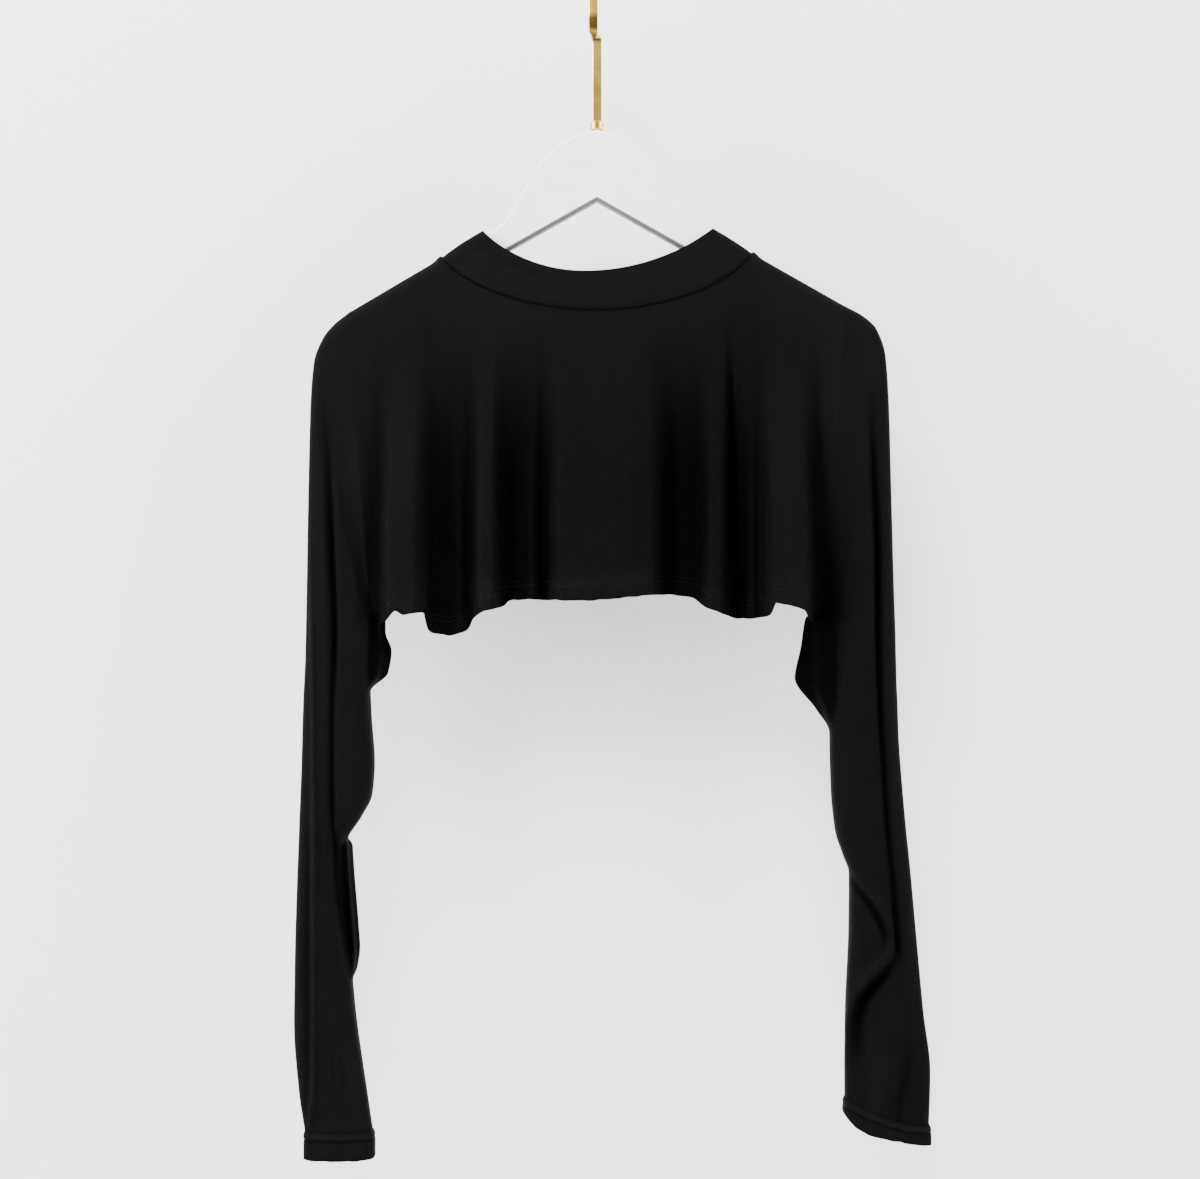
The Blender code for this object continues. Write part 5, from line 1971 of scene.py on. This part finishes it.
RIGHT_SECTIONS = (
    SleeveSection(-256.5, 183.0, 166.0, 0.0, 11.0, 11.0),
    SleeveSection(-263.5, 196.0, 166.0, 0.0, 11.5, 11.5),
    SleeveSection(-273.0, 206.0, 166.0, 0.0, 12.0, 12.0),
    SleeveSection(-293.0, 212.6, 166.0, 0.0, 13.0, 13.0),
    SleeveSection(-330.0, 215.0, 166.0, 0.0, 14.0, 14.5),
    SleeveSection(-400.0, 216.8, 166.0, 0.0, 17.0, 17.5),
    SleeveSection(-480.0, 219.0, 167.5, 0.0, 20.0, 20.0),
    SleeveSection(-487.0, 219.3, 171.0, 19.5, 20.2, 20.2),
    SleeveSection(-510.0, 219.9, 175.4, 26.6, 20.6, 20.6),
    SleeveSection(-531.0, 220.4, 176.4, 31.4, 21.0, 21.0),
    SleeveSection(-555.0, 221.4, 174.2, 12.5, 21.0, 20.0),
    SleeveSection(-573.0, 222.0, 172.8, 0.0, 20.0, 20.0),
    SleeveSection(-614.0, 225.0, 173.8, 0.0, 20.0, 19.0),
    SleeveSection(-644.0, 227.8, 176.8, 0.0, 19.0, 18.5),
    SleeveSection(-663.0, 229.8, 182.8, 0.0, 18.4, 18.2),
    SleeveSection(-676.0, 231.1, 187.2, 0.0, 18.0, 18.0),
    SleeveSection(-718.0, 235.0, 186.8, 0.0, 17.0, 17.0),
    SleeveSection(-777.0, 240.6, 184.2, 0.0, 15.0, 16.0),
    SleeveSection(-822.0, 245.8, 183.6, 0.0, 13.5, 14.0),
    SleeveSection(-862.0, 244.8, 183.9, 0.0, 12.0, 12.0),
)

LEFT_FRONT_CREASES = (
    Crease(-5.0, (
        Spot(198.0, -300.0, 4.0, 0.0),
        Spot(197.6, -345.0, 3.6, 0.5),
        Spot(196.1, -385.0, 3.2, 0.9),
        Spot(193.8, -444.0, 2.8, 1.3),
        Spot(191.8, -503.0, 2.6, 1.3),
        Spot(193.4, -562.0, 2.4, 0.8),
        Spot(193.4, -622.0, 2.2, 0.9),
        Spot(194.0, -668.0, 2.4, 0.0),
    )),
    Crease(2.4, (
        Spot(209.0, -440.0, 1.8, 0.0),
        Spot(208.2, -500.0, 1.7, 0.8),
        Spot(207.2, -580.0, 1.6, 1.0),
        Spot(206.8, -650.0, 1.6, 1.1),
        Spot(207.2, -720.0, 1.6, 1.1),
        Spot(207.2, -780.0, 1.6, 1.0),
        Spot(207.6, -830.0, 1.6, 1.0),
        Spot(211.0, -860.0, 1.7, 0.7),
    )),
    Crease(-1.8, (
        Spot(213.0, -560.0, 2.4, 0.0),
        Spot(211.0, -680.0, 2.6, 1.0),
        Spot(211.2, -740.0, 3.0, 1.2),
        Spot(211.4, -800.0, 2.8, 1.1),
        Spot(213.0, -850.0, 2.2, 0.6),
    )),
    Crease(-7.0, (
        Spot(192.5, -640.0, 1.6, 0.0),
        Spot(193.5, -662.0, 1.4, 0.9),
        Spot(190.5, -699.0, 1.4, 1.0),
        Spot(186.5, -725.0, 1.4, 0.9),
        Spot(182.0, -756.0, 1.6, 0.0),
    ), left=8.0),
    Crease(-0.9, (
        Spot(195.0, -782.0, 2.0, 0.0),
        Spot(193.0, -812.0, 2.2, 1.0),
        Spot(190.5, -850.0, 2.2, 0.2),
    )),
    Crease(-0.8, (
        Spot(187.0, -790.0, 2.0, 0.0),
        Spot(186.0, -825.0, 2.0, 1.0),
        Spot(184.0, -858.0, 2.0, 0.4),
    )),
)

RIGHT_FRONT_CREASES = (
    Crease(-6.0, (
        Spot(201.0, -300.0, 4.0, 0.0),
        Spot(202.4, -345.0, 3.6, 0.6),
        Spot(203.4, -385.0, 3.4, 1.0),
        Spot(205.4, -444.0, 3.0, 1.3),
        Spot(205.6, -500.0, 2.8, 1.3),
        Spot(206.6, -548.0, 2.6, 1.1),
        Spot(209.2, -592.0, 2.6, 0.9),
        Spot(212.0, -636.0, 2.6, 0.8),
        Spot(216.6, -681.0, 2.8, 0.8),
        Spot(218.4, -708.0, 2.8, 0.9),
        Spot(219.8, -726.0, 2.8, 0.9),
        Spot(220.4, -742.0, 3.0, 0.0),
    )),
    Crease(3.2, (
        Spot(185.6, -669.0, 2.6, 0.3),
        Spot(195.2, -682.5, 2.8, 0.9),
        Spot(207.0, -698.0, 2.8, 1.0),
        Spot(214.0, -711.5, 2.8, 1.0),
        Spot(216.0, -723.5, 2.8, 0.8),
        Spot(212.4, -734.5, 3.0, 0.9),
        Spot(199.4, -748.0, 3.2, 1.1),
        Spot(188.0, -766.0, 3.6, 0.9),
        Spot(184.6, -784.0, 4.0, 0.2),
    )),
    Crease(-4.4, (
        Spot(184.6, -673.5, 1.6, 0.5),
        Spot(193.4, -688.0, 2.0, 0.9),
        Spot(203.4, -703.0, 2.2, 1.0),
        Spot(209.4, -716.0, 2.2, 0.9),
        Spot(211.0, -727.0, 2.4, 0.2),
    ), right=2.4),
    Crease(-7.0, (
        Spot(218.0, -737.0, 2.2, 0.3),
        Spot(209.6, -751.5, 2.8, 0.9),
        Spot(200.8, -762.0, 3.4, 1.1),
        Spot(195.6, -772.0, 4.2, 1.1),
        Spot(193.6, -786.0, 4.0, 0.9),
        Spot(192.4, -803.0, 4.0, 0.6),
        Spot(190.0, -821.0, 4.4, 0.0),
    ), left=1.8),
    Crease(-1.6, (
        Spot(227.0, -790.0, 3.0, 0.0),
        Spot(228.0, -815.0, 2.6, 1.0),
        Spot(223.0, -835.0, 2.4, 1.2),
        Spot(221.0, -860.0, 2.4, 0.8),
    )),
)

LEFT_BACK_CREASES = (
    Crease(-5.0, (
        Spot(192.0, -290.0, 4.0, 0.0),
        Spot(193.0, -360.0, 3.6, 0.8),
        Spot(192.0, -470.0, 3.4, 1.0),
        Spot(190.0, -590.0, 4.0, 0.0),
    )),
    Crease(-4.0, (
        Spot(178.0, -560.0, 4.0, 0.0),
        Spot(190.0, -600.0, 3.6, 1.0),
        Spot(202.0, -660.0, 3.6, 0.9),
        Spot(206.0, -740.0, 4.0, 0.0),
    )),
    Crease(-2.5, (
        Spot(186.0, -700.0, 3.0, 0.0),
        Spot(190.0, -770.0, 3.2, 1.0),
        Spot(188.0, -850.0, 3.4, 0.4),
    )),
)

RIGHT_BACK_CREASES = (
    Crease(-5.5, (
        Spot(199.0, -290.0, 4.0, 0.0),
        Spot(198.0, -380.0, 3.8, 0.9),
        Spot(200.0, -480.0, 3.4, 1.0),
        Spot(206.0, -600.0, 4.0, 0.0),
    )),
    Crease(-3.5, (
        Spot(190.0, -570.0, 4.0, 0.0),
        Spot(202.0, -620.0, 3.6, 1.0),
        Spot(210.0, -700.0, 3.8, 0.8),
        Spot(214.0, -780.0, 4.0, 0.0),
    )),
    Crease(-2.4, (
        Spot(200.0, -740.0, 3.4, 0.0),
        Spot(206.0, -800.0, 3.4, 1.0),
        Spot(208.0, -850.0, 3.6, 0.4),
    )),
)

# Painted highlights on the left sleeve: beside the armhole, above the cuff and on the shoulder, lit
# from above; a line of painted shade above the cuff.
LEFT_SHADES = (
    Crease(0.4, (
        Spot(177.0, -340.0, 9.0, 0.0),
        Spot(178.0, -390.0, 9.0, 0.9),
        Spot(178.0, -440.0, 9.0, 1.0),
        Spot(178.0, -480.0, 9.0, 0.8),
        Spot(178.0, -520.0, 9.0, 0.0),
    )),
    Crease(0.3, (
        Spot(182.0, -782.0, 4.0, 0.0),
        Spot(181.0, -812.0, 5.0, 1.0),
        Spot(177.0, -842.0, 4.0, 0.2),
    )),
    Crease(0.25, (
        Spot(206.0, -858.0, 3.0, 0.3),
        Spot(190.0, -859.0, 3.4, 1.0),
        Spot(172.0, -858.0, 3.0, 0.5),
    )),
    Crease(-0.35, (
        Spot(212.0, -846.0, 2.0, 0.3),
        Spot(204.0, -851.0, 2.4, 1.0),
        Spot(195.0, -849.0, 2.4, 0.5),
        Spot(187.0, -846.0, 2.4, 0.0),
    )),
    Crease(0.5, (
        Spot(192.0, -262.0, 16.0, 1.0),
        Spot(200.0, -280.0, 15.0, 1.0),
        Spot(202.0, -305.0, 13.0, 0.6),
        Spot(202.0, -350.0, 12.0, 0.0),
    )),
)

# Painted shade under the right arm, painted highlights above the cuff and on the shoulder, and a
# streak of painted shade.
RIGHT_SHADES = (
    Crease(-1.0, (
        Spot(163.0, -320.0, 7.0, 0.0),
        Spot(163.0, -368.0, 7.0, 0.6),
        Spot(164.0, -400.0, 7.5, 0.85),
        Spot(166.5, -430.0, 8.0, 1.0),
        Spot(168.5, -459.0, 9.0, 1.1),
        Spot(170.0, -490.0, 9.5, 1.1),
        Spot(168.0, -530.0, 10.0, 1.0),
        Spot(168.0, -570.0, 8.0, 0.6),
        Spot(170.0, -600.0, 6.0, 0.0),
    )),
    Crease(0.3, (
        Spot(206.0, -778.0, 5.0, 0.0),
        Spot(206.0, -810.0, 6.0, 1.0),
        Spot(203.0, -848.0, 6.0, 0.8),
    )),
    Crease(-0.3, (
        Spot(229.0, -792.0, 4.0, 0.0),
        Spot(226.0, -822.0, 4.5, 1.0),
        Spot(221.0, -856.0, 4.0, 0.8),
    )),
    Crease(0.3, (
        Spot(192.0, -258.0, 16.0, 1.0),
        Spot(202.0, -276.0, 15.0, 1.0),
        Spot(206.0, -300.0, 13.0, 0.8),
        Spot(207.0, -350.0, 12.0, 0.0),
    )),
)

# Painted shade beside the armholes, and painted highlights along the hem.
PANEL_SHADES = (
    Crease(-1.0, (
        Spot(-166.0, -330.0, 7.5, 0.0),
        Spot(-166.0, -368.0, 7.5, 0.4),
        Spot(-166.0, -400.0, 7.0, 0.7),
        Spot(-166.2, -440.0, 6.5, 0.85),
        Spot(-167.0, -474.0, 5.5, 0.6),
    )),
    Crease(-1.0, (
        Spot(162.5, -300.0, 8.0, 0.0),
        Spot(161.0, -340.0, 8.0, 0.3),
        Spot(161.5, -368.0, 8.0, 0.8),
        Spot(163.5, -400.0, 8.0, 0.9),
        Spot(166.0, -430.0, 8.5, 1.0),
        Spot(168.5, -459.0, 9.0, 1.1),
        Spot(170.0, -490.0, 9.5, 1.1),
    )),
    Crease(0.45, (
        Spot(-98.0, -452.0, 7.0, 0.0),
        Spot(-91.0, -462.0, 7.0, 1.0),
        Spot(-82.0, -466.0, 7.0, 0.6),
        Spot(-70.0, -463.0, 6.0, 0.8),
        Spot(-60.0, -461.0, 6.0, 0.0),
    )),
    Crease(0.45, (
        Spot(-52.0, -455.0, 6.0, 0.0),
        Spot(-44.0, -460.0, 7.0, 1.2),
        Spot(-30.0, -462.0, 6.0, 0.4),
        Spot(-14.0, -461.0, 6.0, 1.0),
        Spot(8.0, -459.0, 6.0, 0.5),
        Spot(26.0, -458.0, 6.0, 1.0),
        Spot(42.0, -457.0, 5.0, 0.4),
        Spot(52.0, -455.0, 5.0, 0.0),
    )),
)


def main() -> None:
    """Builds every piece of the garment, dresses the hanger and sets the studio."""
    logging.basicConfig(level=logging.INFO, format="%(message)s")
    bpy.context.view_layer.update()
    jersey = Jersey().material()
    thread = Thread().material()
    panel_cut = SheetCut(0.44, 0.28, 0.1)
    front = Panel(
        name="front",
        face=Face.FRONT,
        folds=FRONT_FOLDS,
        hem=FRONT_HEM,
        creases=FRONT_CREASES,
        shades=PANEL_SHADES,
        cut=panel_cut,
        seed=0.3,
    )
    back = Panel(
        name="back",
        face=Face.BACK,
        folds=BACK_FOLDS,
        hem=BACK_HEM,
        creases=BACK_CREASES,
        shades=PANEL_SHADES,
        cut=panel_cut,
        seed=1.9,
    )
    left = Sleeve(
        side=Side.LEFT,
        sections=LEFT_SECTIONS,
        cuff=CuffEnd(-866.0, -866.0, -885.4, -884.8),
        front_creases=LEFT_FRONT_CREASES,
        back_creases=LEFT_BACK_CREASES,
        shades=LEFT_SHADES,
        cut=SheetCut(0.126, 0.606),
        cuff_cut=SheetCut(0.124, 0.022),
        seed=0.8,
        cuff_shift=0.4,
    )
    right = Sleeve(
        side=Side.RIGHT,
        sections=RIGHT_SECTIONS,
        cuff=CuffEnd(-861.0, -841.4, -875.4, -851.5),
        front_creases=RIGHT_FRONT_CREASES,
        back_creases=RIGHT_BACK_CREASES,
        shades=RIGHT_SHADES,
        cut=SheetCut(0.138, 0.606),
        cuff_cut=SheetCut(0.122, 0.021),
        seed=2.6,
        painted_light=0.86,
        cuff_tilt=0.5,
    )
    front.build(jersey, thread)
    back.build(jersey, thread)
    left.build(jersey)
    right.build(jersey)
    Collar().build(jersey)
    Hanger().build()
    Studio().build()


if __name__ == "__main__":
    main()
